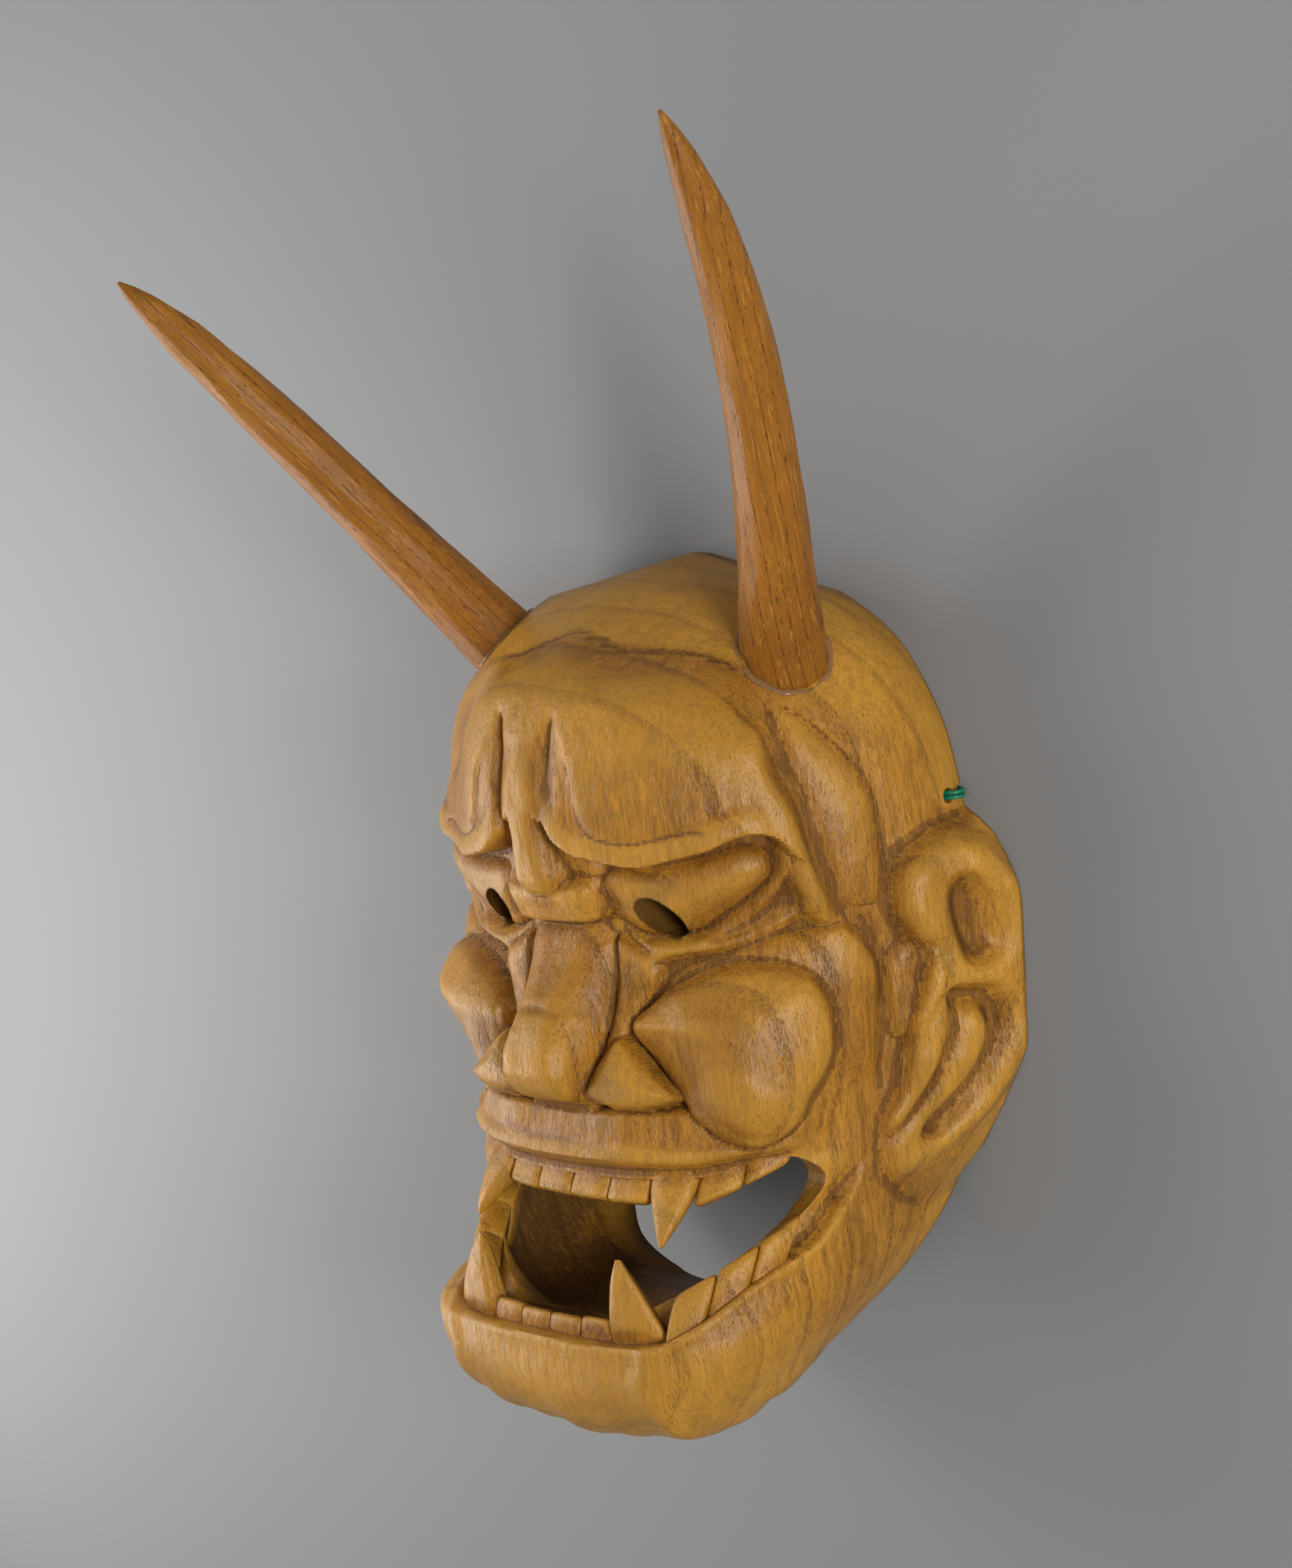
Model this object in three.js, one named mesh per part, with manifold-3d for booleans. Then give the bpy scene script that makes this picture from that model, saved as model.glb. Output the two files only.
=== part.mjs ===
// A carved wooden hannya mask lying on its back rim: face up along +Z, horns towards +Y.
// Millimetres. The face is a loft with the carving raised on it; s runs round the face from
// its middle line and y runs up it.

import * as THREE from 'three';
import { mergeVertices } from 'three/addons/utils/BufferGeometryUtils.js';
import Module from 'manifold-3d';

const wasm = await Module();
wasm.setup();

const WALL = 10;                 // wood left at the temples
const SHIFT_Y = 177.9;           // near the middle of the length, which is the row's origin

// Hanging cord, its holes above the ears and the shallow grooves that it lies in under the rim
const CORD_DIAMETER = 1.2;
const CORD_GAP = 0.3;
const CORD_HOLE_RADIUS = 2.1;
const CORD_HOLE_Y = 172;
const CORD_FLOOR_Z = CORD_DIAMETER / 2 + 0.2;
const CORD_TURN_RADIUS = 2.6;
const CORD_HOLE_Z = CORD_FLOOR_Z + 2 * CORD_TURN_RADIUS;
const CORD_TURNS = 2;
const CORD_PITCH = CORD_DIAMETER + 0.15;
const CORD_INNER_X = 66.8;
const CORD_OUTER_X = 80.6;

// Horns, glued into sockets
const HORN_TENON = 6;
const GLUE_GAP = 0.25;
const HORN_SIDES = 10;
const HORN_RINGS = 11;

// Eye holes, cut straight back
const EYE_HOLE_X = 30;
const EYE_HOLE_Y = 152.8;
const EYE_HOLE_WIDE = 5.4;
const EYE_HOLE_HIGH = 6.3;
const EYE_HOLE_SLANT = 1.5;

// Each row of the loft, crown to chin: half width, y and z of the rim, y and z of the middle line,
// reach of the front and of the side; then how far the hollow stands back, in walls: front y,
// front z, rim y.
const ROWS = [
  [0, 240, 0, 240, 0, 0, 0, 0, -1.2, 0, -1.2],
  [34, 234, 0, 239, 25, 19, 1, 0.55, -1.2, 0.9, -1.1],
  [62, 218, 0, 231, 47, 33, 1, 0.57, -1.2, 1.1, -1],
  [75.5, 197, 0, 216, 66, 42, 1, 0.57, -1.1, 1.1, -0.8],
  [80.5, 176, 0, 194, 78, 46, 1, 0.55, -0.9, 1.2, -0.5],
  [81, 155, 0, 171, 80, 48, 1, 0.55, -0.5, 1.1, -0.3],
  [82, 138, 0, 149, 72, 50, 1, 0.55, -0.2, 1, -0.2],
  [81, 120, 0, 128, 72, 50, 1, 0.55, 0, 0.9, 0],
  [78, 101, 0, 106, 80, 50, 1, 0.55, 0.1, 1, 0.1],
  [72, 82, 0, 84, 88, 54, 1, 0.6, 0.3, 1.2, 0.3],
  [67, 63, 2, 63, 101, 60, 1, 0.68, 0.7, 1.9, 0.5],
  [62.5, 49, 13, 44, 110, 66, 1, 0.76, 1.3, 2.4, 0.5],
  [55, 36.5, 25, 26, 108, 61, 1.02, 0.76, 1.6, 2.4, 0.65],
  [45, 28, 31, 12, 92, 52, 1.1, 0.7, 2.3, 2.2, 0.75],
  [24, 22, 29, 8.5, 54, 28, 1.2, 0.55, 2.4, 1, 0.78],
  [0, 19.5, 26, 19.5, 26, 0, 0, 0, 0.75, 0, 0.75],
];

// A smooth curve through evenly spaced values, and through points

function through(values, share) {
  const last = values.length - 1;
  const x = Math.min(Math.max(share, 0), 1) * last;
  const i = Math.min(Math.floor(x), last - 1);
  const f = x - i;
  const before = i > 0 ? values[i - 1] : 2 * values[0] - values[1];
  const after = i + 2 <= last ? values[i + 2] : 2 * values[last] - values[last - 1];
  const [b, c] = [values[i], values[i + 1]];
  return 0.5 * (2 * b + (c - before) * f + (2 * before - 5 * b + 4 * c - after) * f * f
    + (3 * b - before - 3 * c + after) * f * f * f);
}

function open(...points) {
  const xs = points.map((p) => p[0]);
  const ys = points.map((p) => p[1]);
  const steps = 5 * (points.length - 1);
  return Array.from({ length: steps + 1 }, (_, k) => [through(xs, k / steps), through(ys, k / steps)]);
}

function closed(...points) {
  const ring = [points.at(-1), ...points, points[0], points[1]];
  const curve = open(...ring);
  return curve.slice(5, curve.length - 5);
}

// Lines of the carving on the right half, as (s, y)
const HAIRLINE = open([0, 226.3], [11, 223.5], [20, 221], [30, 220], [40, 218.5], [50.7, 214.6],
  [57, 210.5], [61, 207.5]);
const TEMPLE = open([57, 213], [61, 207.6], [66, 200.7], [70.8, 190], [76.7, 179], [79.7, 161.3],
  [78.8, 149.4]);
const LOBE = closed([62, 206.5], [70, 202], [78, 196], [87, 188], [94.8, 177], [96, 164.5], [90.5, 152],
  [84.5, 150], [79.5, 152], [80.3, 162], [77.5, 178.5], [72, 190], [67, 200]);
const FACET = open([0, 214], [15.6, 214.8], [26.6, 209.3], [36.3, 204.7], [46, 200.2], [55.2, 197.5],
  [59.6, 192.9], [63.2, 185], [67, 176.8], [69, 169.4]);
const BROW = open([6, 181], [9, 177], [13.9, 173.3], [19, 171.8], [26, 170], [33, 169], [41, 170],
  [49.3, 171.2], [56.2, 173.3], [60.8, 173.8], [65.6, 172.5], [69.8, 168.2]);
const TERRACE = open([11, 203], [12, 198.8], [15.5, 193], [17.5, 184], [21.5, 178], [32, 176], [41, 177],
  [48, 177.2], [52.5, 175.5]);
const FURROW = open([9.8, 208], [8.6, 203.7], [7.9, 198], [8.2, 191], [8, 184], [7.4, 178], [5.8, 171],
  [6.3, 165]);
const EYE = closed([15.5, 158], [17, 152], [22, 148.3], [28, 147], [38.8, 148], [47.7, 152], [57.5, 157],
  [64, 161.8], [65, 166.5], [63.5, 169], [58, 170.4], [50, 169], [40, 167], [30, 166], [22, 166.5],
  [17, 164]);
const LID = open([17, 150], [22, 146.6], [30, 145], [39, 146], [48, 149.6], [58, 154.3], [66, 161],
  [68.5, 167], [66.5, 172]);
const FOLD = open([16.5, 127], [18.5, 134], [22, 140], [28, 143.2], [35, 144.3], [43, 145.2], [54, 147.6],
  [66, 151], [78, 155]);
const CHEEK = closed([27, 133], [35, 139.2], [46.6, 142], [59.3, 145.3], [71.7, 146], [78.6, 145.3],
  [82.7, 139.3], [85, 132], [84.6, 121], [85.4, 108.4], [80.5, 103], [77.5, 98.3], [67.7, 88.5], [57, 87.5],
  [47, 90], [38, 97], [31, 107], [25, 120]);
const BALL = closed([20.6, 122.6], [27, 131], [39, 138], [51, 140.3], [59.5, 139], [67, 134], [70.7, 123.6],
  [71.3, 112], [67.5, 103], [63, 94.8], [55.5, 90.7], [46.8, 93.4], [37.5, 100.4], [27.5, 113]);
const WING = closed([9.2, 104.6], [11.4, 109.5], [14.4, 114.8], [18, 119.3], [22.5, 117], [27.5, 111.8],
  [32.5, 107.4], [35, 104.6], [30, 102.6], [23, 101.8], [16, 102.4]);
const STRIP = closed([15.6, 147], [20, 145.6], [25, 142.8], [27.5, 138.6], [24.5, 131.5], [20.6, 123.6],
  [18.3, 118.6], [14.4, 111.6], [10.8, 104.6], [12.8, 113], [13.9, 124], [14.6, 136]);
const UPPER_LIP = open([0, 87.2], [22, 87], [39, 87], [50, 88.1], [64, 88.7], [70, 86], [76, 80]);
const LOWER_LIP = open([0, 46.1], [18.4, 46.1], [36, 46.8], [42, 48.2], [54, 54], [61, 58], [70.6, 61.2],
  [79.5, 63.5], [83, 67.5], [86.5, 74.3], [88.5, 80.3]);
const CHIN_EDGE = open([38, 50], [37.2, 47], [36.4, 42.3], [34.5, 35.6], [37, 28], [38, 20]);
const EAR = closed([124, 166], [112, 165.5], [101, 161], [94.5, 153], [92, 146], [94, 139], [97, 134],
  [95, 126], [93, 117], [93, 108], [93, 98], [90, 90], [92, 82], [97, 75], [106, 69], [116, 64], [140, 60],
  [140, 166]);
const HELIX = open([97, 140], [96.5, 147], [99.5, 154.5], [106, 160.5], [115, 161.5], [121, 155],
  [124, 146], [125, 132], [125, 118], [124, 104], [119, 92], [111, 83], [102, 78]);
const UPPER_BOWL = closed([104, 147], [109, 153], [115, 153.5], [120, 148], [121, 138], [119, 129],
  [112, 126], [105.5, 129], [103, 138]);
const LOWER_BOWL = open([106, 121], [113, 118], [117, 111], [116, 102], [112, 94], [106, 87]);
const INNER_CUT = open([103, 122], [104, 113], [102, 103], [98, 94], [93, 86]);
const TRAGUS = closed([87, 133], [92, 138], [99, 135], [100, 127], [97, 119], [93, 112], [89, 114],
  [86.5, 123]);
const EAR_GROOVE = open([83, 146], [85.5, 138], [85, 126], [86, 112], [88, 100]);

// Heights along the middle of the face, against y
const NOSE_TOP = [[102, 6], [103, 13], [105, 18], [108, 21.5], [113, 23.4], [118, 23], [124, 21.5],
  [132, 18.5], [140, 13.5], [146, 9], [151, 5], [152.6, 2], [153.6, -3]];
const NOSE_FRONT = [[102, 8.5], [108, 8.6], [113, 7.4], [120, 5.6], [132, 4.8], [142, 5.8], [153, 8.6]];
const NOSE_SIDE = [[102, 10.4], [108, 11.4], [116, 13], [124, 14], [136, 14.8], [146, 14.8], [153, 12.4]];
const NOSE_FOOT = [[102, 6], [108, 9], [118, 8.5], [132, 5.5], [146, 2.5], [153, 0]];
const FROWN_TOP = [[160.5, -4], [162, 3.5], [164.5, 6.8], [168, 8], [173, 7.4], [178, 7.4], [186, 7.6],
  [196, 7.2], [204, 6.4], [210, 4], [215, 0]];
const FROWN_HALF = [[160.5, 4.4], [163, 6.2], [167, 6.9], [172, 5.8], [178, 5.2], [186, 5.6], [196, 6.6],
  [204, 8], [215, 10]];
// The share of its full height that the ear has at each y
const EAR_RISE = [[58, 0], [62, 0.1], [75, 0.5], [87, 0.78], [104, 1], [147, 1], [154, 0.93], [160, 0.74],
  [165, 0.42], [169, 0]];

const SHELF_DEEP = [[0, 5], [20, 7], [28, 8], [40, 7], [60, 5], [90, 3.5]];

// Mouth: s, lower edge, upper edge
const MOUTH = [[0, 50, 84.5], [12, 51, 84.5], [24, 53.5, 84.5], [30, 56, 84.5], [38, 59, 84.5],
  [44, 60.5, 85], [50, 61.8, 86.5], [55, 63.6, 87.5], [60, 65.3, 87.8], [65, 67, 86.8], [69, 68.6, 85],
  [73, 70.4, 82.6], [76, 73, 80], [77.4, 75.3, 77.5]];

function table(pairs, x) {
  if (x <= pairs[0][0]) return pairs[0][1];
  for (let i = 1; i < pairs.length; i += 1) {
    if (x <= pairs[i][0]) {
      const share = (x - pairs[i - 1][0]) / (pairs[i][0] - pairs[i - 1][0]);
      return pairs[i - 1][1] + share * (pairs[i][1] - pairs[i - 1][1]);
    }
  }
  return pairs.at(-1)[1];
}

function step(low, high, x) {
  const t = Math.min(Math.max((x - low) / (high - low), 0), 1);
  return t * t * (3 - 2 * t);
}

const bump = (x, width) => Math.exp(-((x / width) ** 2));
const smoothMax = (a, b, k) => 0.5 * (a + b + Math.sqrt((a - b) ** 2 + k * k));

function pillow(distance, height, reach) {
  const q = Math.min(Math.max(distance / reach, 0), 1);
  return height * Math.sqrt(1 - (1 - q) ** 2);
}

// Distance to a line, positive on its left, and how far along it
function beside(s, y, points) {
  let [best, side, share] = [Infinity, 1, 0];
  for (let i = 1; i < points.length; i += 1) {
    const [ax, ay] = points[i - 1];
    const [dx, dy] = [points[i][0] - ax, points[i][1] - ay];
    const t = Math.min(Math.max(((s - ax) * dx + (y - ay) * dy) / (dx * dx + dy * dy), 0), 1);
    const away = (s - ax - t * dx) ** 2 + (y - ay - t * dy) ** 2;
    if (away < best) {
      best = away;
      side = Math.sign(dx * (y - ay) - dy * (s - ax));
      share = (i - 1 + t) / (points.length - 1);
    }
  }
  return { distance: Math.sqrt(best) * side, share };
}

// Distance to a closed outline, positive inside
function within(s, y, points) {
  let inside = false;
  for (let i = 1; i < points.length; i += 1) {
    const [ax, ay] = points[i - 1];
    const [bx, by] = points[i];
    if ((ay > y) !== (by > y) && s < ax + ((y - ay) * (bx - ax)) / (by - ay)) inside = !inside;
  }
  return Math.abs(beside(s, y, points).distance) * (inside ? 1 : -1);
}

function forehead(s, y, brow, left) {
  const hair = -beside(s, y, HAIRLINE).distance;
  const temple = -beside(s, y, TEMPLE).distance;
  const facet = -beside(s, y, FACET).distance;
  const above = Math.max(step(-0.6, 1, brow), step(66, 76, s), step(162, 190, y) * step(14, 6, s));
  const full = 6.5 - left * step(14, 44, s) * (5 + 3 * step(172, 195, y));
  const mass = full * step(-1, 14, hair) * step(0, 8, temple) * step(140, 156, y);
  const edge = 0.9 * step(-0.6, 1.2, hair) * step(0, 3, temple) * step(180, 200, y) * step(66, 60, s);
  return mass * above + edge + 0.7 * step(0, 4, facet) * above * step(72, 62, s);
}

function browRoll(s, y, brow) {
  const roll = 1.7 * step(-0.5, 1.6, brow) * (1 - step(2.5, 9, brow)) * step(5, 9, s) * step(70, 56, s);
  const { distance: terrace, share } = beside(s, y, TERRACE);
  const ends = step(0, 0.12, share) * step(1, 0.9, share);
  const band = step(0.7, -0.5, terrace) * step(-13, -8, terrace) * ends;
  return roll - 1.1 * band - 0.5 * bump(terrace - 0.5, 0.8) * ends;
}

function frown(s, y, d, left) {
  const { distance: furrow, share } = beside(s, y, FURROW);
  const ends = step(0, 0.2, share) * step(1, 0.93, share);
  const deep = (1 + 3 * left) * (left + (1 - left) * step(0.45, 0.3, share));
  d -= (deep * bump(furrow, 0.9) + 1.1 * bump(furrow, 2.6)) * ends;
  d = smoothMax(d, table(FROWN_TOP, y) - 4 * (s / table(FROWN_HALF, y)) ** 4, 1.2);
  return smoothMax(d, 6.4 - 6 * ((s / 16.5) ** 6 + ((y - 159.5) / 6.3) ** 6), 0.8);
}

function eye(s, y, brow, d) {
  const ball = within(s, y, EYE);
  const socket = step(1.5, -0.6, brow) * step(14, 19, s) * step(72, 64, s) * step(143, 149, y);
  const lid = beside(s, y, LID);
  const fold = beside(s, y, FOLD);
  d += pillow(ball, 4.3, 12) - 1.1 * bump(ball, 0.8) * step(16, 20, s) - 2.2 * socket;
  d += 1.7 * bump(lid.distance, 1.4) * step(0, 0.1, lid.share) * step(1, 0.92, lid.share);
  const band = 2.6 * bump(fold.distance, 2.6) + 0.8 * step(1, -1, fold.distance) * bump(fold.distance, 7);
  return d + band * step(0, 0.2, fold.share) * step(1, 0.8, fold.share);
}

function cheek(s, y, left) {
  const ball = within(s, y, BALL);
  const rise = 1.1 * step(-0.2, 1.2, ball) * step(70, 40, s);
  const full = 1 - 0.95 * left * step(128, 98, y) * step(28, 50, s);
  const side = within(s, y, CHEEK);
  const crisp = step(112, 142, y);
  const mass = 6.5 * (crisp * pillow(side, 1, 19) + (1 - crisp) * step(-5, 17, side)) + pillow(ball, 9.5, 24);
  const fill = 6 * Math.exp(-(((s - 19.5) / 9) ** 2) - ((y - 120) / 20) ** 2);
  return mass * full + fill + rise - 0.45 * bump(ball, 0.7) * step(24, 40, s);
}

function upperLip(s, y) {
  const lip = beside(s, y, UPPER_LIP).distance;
  const band = step(-0.6, 1.6, lip) * step(103.5, 100, y) * step(74, 52, s)
    * step(3, -2, within(s, y, BALL));
  return (5.4 - 2.2 * step(20, 50, s)) * band + 0.8 * bump(lip - 3, 2.6) * band;
}

function nose(s, y, d) {
  const foot = table(NOSE_FOOT, y);
  const side = table(NOSE_SIDE, y);
  const strip = within(s, y, STRIP);
  if (strip > 0) d = smoothMax(d, 0.85 * foot + pillow(strip, 2.2, 4), 0.8);
  const wing = within(s, y, WING);
  if (wing > -3) d = smoothMax(d, (wing > 0 ? 7.5 : -9) + pillow(wing, 7, 9), 0.8);
  if (s < side && y > 101.5 && y < 153.6) {
    const front = table(NOSE_FRONT, y);
    const across = 1 - Math.min(Math.max((s - front + 2) / (side - front + 2), 0), 1) ** 1.7;
    d = Math.max(d, foot + (table(NOSE_TOP, y) - foot) * across);
  }
  return d - 0.8 * bump(s - side - 0.3, 0.9) * step(102, 106, y) * step(150, 146, y);
}

function jaw(s, y, signedS) {
  const lip = beside(s, y, LOWER_LIP).distance;
  const shelf = table(SHELF_DEEP, s) * step(0, 1.6, lip) * step(84, 70, y) * step(92, 84, s);
  const rim = 0.8 * bump(lip + 1.2, 1.6) * step(84, 72, y);
  const edge = 1.6 * bump(beside(s, y, CHIN_EDGE).distance, 3.5) * step(14, 22, y) * step(52, 47, y);
  const wavy = Math.sin(0.19 * signedS + 0.4) + 0.6 * Math.sin(0.41 * signedS);
  const cutBack = (signedS < 0 ? 7.5 : 0) * step(14, 34, s) * step(42, 54, y) * step(88, 70, y);
  return rim + edge - shelf - cutBack + 0.5 * wavy * step(32, 20, y) * step(4, 12, y);
}

function ear(s, y) {
  const rise = pillow(within(s, y, EAR), 1, 7) * (7.5 + 5.2 * step(95, 124, s)) * table(EAR_RISE, y);
  const bowls = 7.5 * step(-1, 8, within(s, y, UPPER_BOWL))
    + 6 * bump(beside(s, y, LOWER_BOWL).distance, 3.6) * step(126, 120, y);
  const cuts = 2.2 * bump(beside(s, y, INNER_CUT).distance, 2.4)
    + 1.2 * bump(beside(s, y, EAR_GROOVE).distance, 1.6);
  const ridges = 1.6 * bump(beside(s, y, HELIX).distance, 4.5) + pillow(within(s, y, TRAGUS), 3, 6);
  return rise + ridges - bowls - cuts;
}

// Height of the carving over the loft. The left side was cut back further than the right.
function carving(signedS, y) {
  const s = Math.abs(signedS);
  const left = signedS < 0 ? 1 : 0;
  const brow = beside(s, y, BROW).distance;
  let d = frown(s, y, forehead(s, y, brow, left) + browRoll(s, y, brow), left);
  d = eye(s, y, brow, d) + cheek(s, y, left) + upperLip(s, y);
  d = nose(s, y, d) + jaw(s, y, signedS) + ear(s, y);
  return d + pillow(within(s, y, LOBE), 2.2, 12);
}

// The loft: each row is one curve from rim to rim, u from -1 to 1, and v runs from crown to chin
function loft(u, v, hollow) {
  const [half, rimY, rimZ, frontY, frontZ, flat, reach, lift, backY, backZ, backRim] = ROWS[0]
    .map((_, column) => through(ROWS.map((row) => row[column]), v));
  const back = hollow ? WALL : 0;
  const width = Math.max(half - back * Math.min(1, half / 30), 0);
  const [yr, yf, zf] = [rimY + backRim * back, frontY + backY * back, frontZ - backZ * back];
  const zr = Math.max(rimZ, 0);
  const front = flat * (half > 0 ? width / Math.max(half, 1e-6) : 0);
  const a = Math.abs(u);
  const [b0, b1, b2, b3] = [(1 - a) ** 3, 3 * (1 - a) ** 2 * a, 3 * (1 - a) * a * a, a ** 3];
  return new THREE.Vector3(
    Math.sign(u) * (b1 * front + b2 * reach * width + b3 * width),
    (b0 + b1) * yf + b2 * 0.5 * (yf + yr) + b3 * yr,
    (b0 + b1) * zf + b2 * (zr + lift * (zf - zr)) + b3 * zr,
  );
}

// A fine net of the loft with its normals and arc lengths, read between its knots
const FIRST = 0.008;
const LAST = 0.99;
const NET_U = 120;
const NET_V = 180;
const net = [];
for (let i = 0; i <= NET_V; i += 1) {
  const row = [];
  for (let j = 0; j <= NET_U; j += 1) {
    row.push({ at: loft(-1 + (2 * j) / NET_U, FIRST + ((LAST - FIRST) * i) / NET_V, false) });
  }
  net.push(row);
}
for (let i = 0; i <= NET_V; i += 1) {
  let run = 0;
  const middle = NET_U / 2;
  net[i][middle].s = 0;
  for (let j = middle + 1; j <= NET_U; j += 1) {
    run += net[i][j].at.distanceTo(net[i][j - 1].at);
    net[i][j].s = run;
    net[i][NET_U - j].s = -run;
  }
  for (let j = 0; j <= NET_U; j += 1) {
    const along = net[i][Math.min(j + 1, NET_U)].at.clone().sub(net[i][Math.max(j - 1, 0)].at);
    const down = net[Math.min(i + 1, NET_V)][j].at.clone().sub(net[Math.max(i - 1, 0)][j].at);
    const normal = down.cross(along);
    if (j === 0 || j === NET_U) normal.z = 0;
    net[i][j].normal = normal.normalize();
  }
}

function read(u, v) {
  const x = Math.min(Math.max(((u + 1) / 2) * NET_U, 0), NET_U - 0.001);
  const z = Math.min(Math.max(((v - FIRST) / (LAST - FIRST)) * NET_V, 0), NET_V - 0.001);
  const [j, i] = [Math.floor(x), Math.floor(z)];
  const [a, b] = [x - j, z - i];
  const knots = [[net[i][j], (1 - a) * (1 - b)], [net[i][j + 1], a * (1 - b)],
    [net[i + 1][j], (1 - a) * b], [net[i + 1][j + 1], a * b]];
  const found = { at: new THREE.Vector3(), normal: new THREE.Vector3(), s: 0 };
  for (const [knot, weight] of knots) {
    found.at.addScaledVector(knot.at, weight);
    found.normal.addScaledVector(knot.normal, weight);
    found.s += knot.s * weight;
  }
  return found;
}

// The point of the loft at (s, y), lifted off it, found by Newton steps
function onFace(s, y, lift) {
  let [u, v] = [s / 110, 0.05 + 0.8 * (1 - y / 240)];
  for (let i = 0; i < 25; i += 1) {
    const here = read(u, v);
    const [right, left] = [read(u + 0.01, v), read(u - 0.01, v)];
    const [below, over] = [read(u, v + 0.005), read(u, v - 0.005)];
    const [su, yu] = [(right.s - left.s) / 0.02, (right.at.y - left.at.y) / 0.02];
    const [sv, yv] = [(below.s - over.s) / 0.01, (below.at.y - over.at.y) / 0.01];
    const turn = su * yv - sv * yu;
    const [ds, dy] = [s - here.s, y - here.at.y];
    u = Math.min(Math.max(u + (0.7 * (ds * yv - sv * dy)) / turn, -0.98), 0.98);
    v = Math.min(Math.max(v + (0.7 * (su * dy - yu * ds)) / turn, FIRST + 0.006), LAST - 0.006);
  }
  const found = read(u, v);
  return found.at.addScaledVector(found.normal, lift);
}

// Solids

function solidOf(geometry) {
  const bare = geometry.index ? geometry.toNonIndexed() : geometry.clone();
  for (const name of Object.keys(bare.attributes)) {
    if (name !== 'position') bare.deleteAttribute(name);
  }
  const merged = mergeVertices(bare, 1e-5);
  const solid = new wasm.Manifold(new wasm.Mesh({
    numProp: 3,
    vertProperties: new Float32Array(merged.attributes.position.array),
    triVerts: new Uint32Array(merged.index.array),
  }));
  return solid;
}

// Rings of equal length stacked into a closed solid, each end closed to its middle
function stack(rings) {
  const points = rings.flat();
  const count = rings[0].length;
  const ends = [rings[0], rings.at(-1)].map((ring) => ring
    .reduce((sum, p) => sum.add(p), new THREE.Vector3()).divideScalar(count));
  const index = [];
  for (let k = 0; k + 1 < rings.length; k += 1) {
    for (let j = 0; j < count; j += 1) {
      const [a, b] = [k * count + j, k * count + ((j + 1) % count)];
      const [c, d] = [b + count, a + count];
      if (points[a].distanceTo(points[c]) < points[b].distanceTo(points[d])) index.push(a, b, c, a, c, d);
      else index.push(a, b, d, b, c, d);
    }
  }
  const last = (rings.length - 1) * count;
  for (let j = 0; j < count; j += 1) {
    const next = (j + 1) % count;
    index.push(points.length, next, j, points.length + 1, last + j, last + next);
  }
  const all = [...points, ...ends];
  let volume = 0;
  for (let t = 0; t < index.length; t += 3) {
    volume += all[index[t]].dot(all[index[t + 1]].clone().cross(all[index[t + 2]]));
  }
  if (volume < 0) index.reverse();
  const geometry = new THREE.BufferGeometry().setFromPoints(all);
  geometry.setIndex(index);
  return solidOf(geometry);
}

function geometryOf(solid) {
  const mesh = solid.getMesh();
  const geometry = new THREE.BufferGeometry();
  geometry.setAttribute('position', new THREE.BufferAttribute(new Float32Array(mesh.vertProperties), 3));
  geometry.setIndex(new THREE.BufferAttribute(new Uint32Array(mesh.triVerts), 1));
  geometry.computeVertexNormals();
  return geometry;
}

// Values from low to high with more steps where they are asked for
function spread(bands) {
  const values = [bands[0].from];
  for (const { from, to, steps } of bands) {
    for (let k = 1; k <= steps; k += 1) values.push(from + ((to - from) * k) / steps);
  }
  return values;
}

// The value between low and high where a rising function reaches a goal
function reach(f, goal, low, high) {
  for (let i = 0; i < 40; i += 1) {
    const middle = (low + high) / 2;
    if (f(middle) < goal) low = middle;
    else high = middle;
  }
  return (low + high) / 2;
}

// Columns of facets by s at the eyes, and rows by y up the middle line, closer where the carving is finer
const COLUMNS = spread([{ from: 0, to: 12, steps: 5 }, { from: 12, to: 30, steps: 5 },
  { from: 30, to: 70, steps: 6 }, { from: 70, to: 97, steps: 4 }, { from: 97, to: 123, steps: 5 }]);
const HALF_U = [...COLUMNS.map((s) => reach((u) => read(u, 0.42).s, s, 0, 1)), 1];
const ALL_U = [...HALF_U.slice(1).reverse().map((u) => -u), ...HALF_U];
const HEIGHTS = spread([{ from: 232, to: 184, steps: 4 }, { from: 184, to: 164, steps: 8 },
  { from: 164, to: 143, steps: 7 }, { from: 143, to: 107, steps: 7 }, { from: 107, to: 99, steps: 3 },
  { from: 99, to: 84, steps: 4 }, { from: 84, to: 58, steps: 4 }, { from: 58, to: 44, steps: 4 },
  { from: 44, to: 12, steps: 4 }]);
const ALL_V = [FIRST, 0.03, ...HEIGHTS.map((y) => reach((v) => -read(0, v).at.y, -y, 0.01, 0.88)),
  0.91, 0.95, LAST];

// Rows of facets run level across the front of the face, so v shifts a little with u
function levelV(u, v) {
  const front = read(0, v).at.y;
  const level = front + (read(u, v).at.y - front) * step(0.5, 0.85, Math.abs(u));
  let found = v;
  for (let i = 0; i < 6; i += 1) {
    const slope = (read(u, found + 0.005).at.y - read(u, found - 0.005).at.y) / 0.01;
    found -= Math.abs(slope) > 20 ? (read(u, found).at.y - level) / slope : 0;
  }
  return Math.min(Math.max(found, FIRST), LAST);
}

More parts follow.
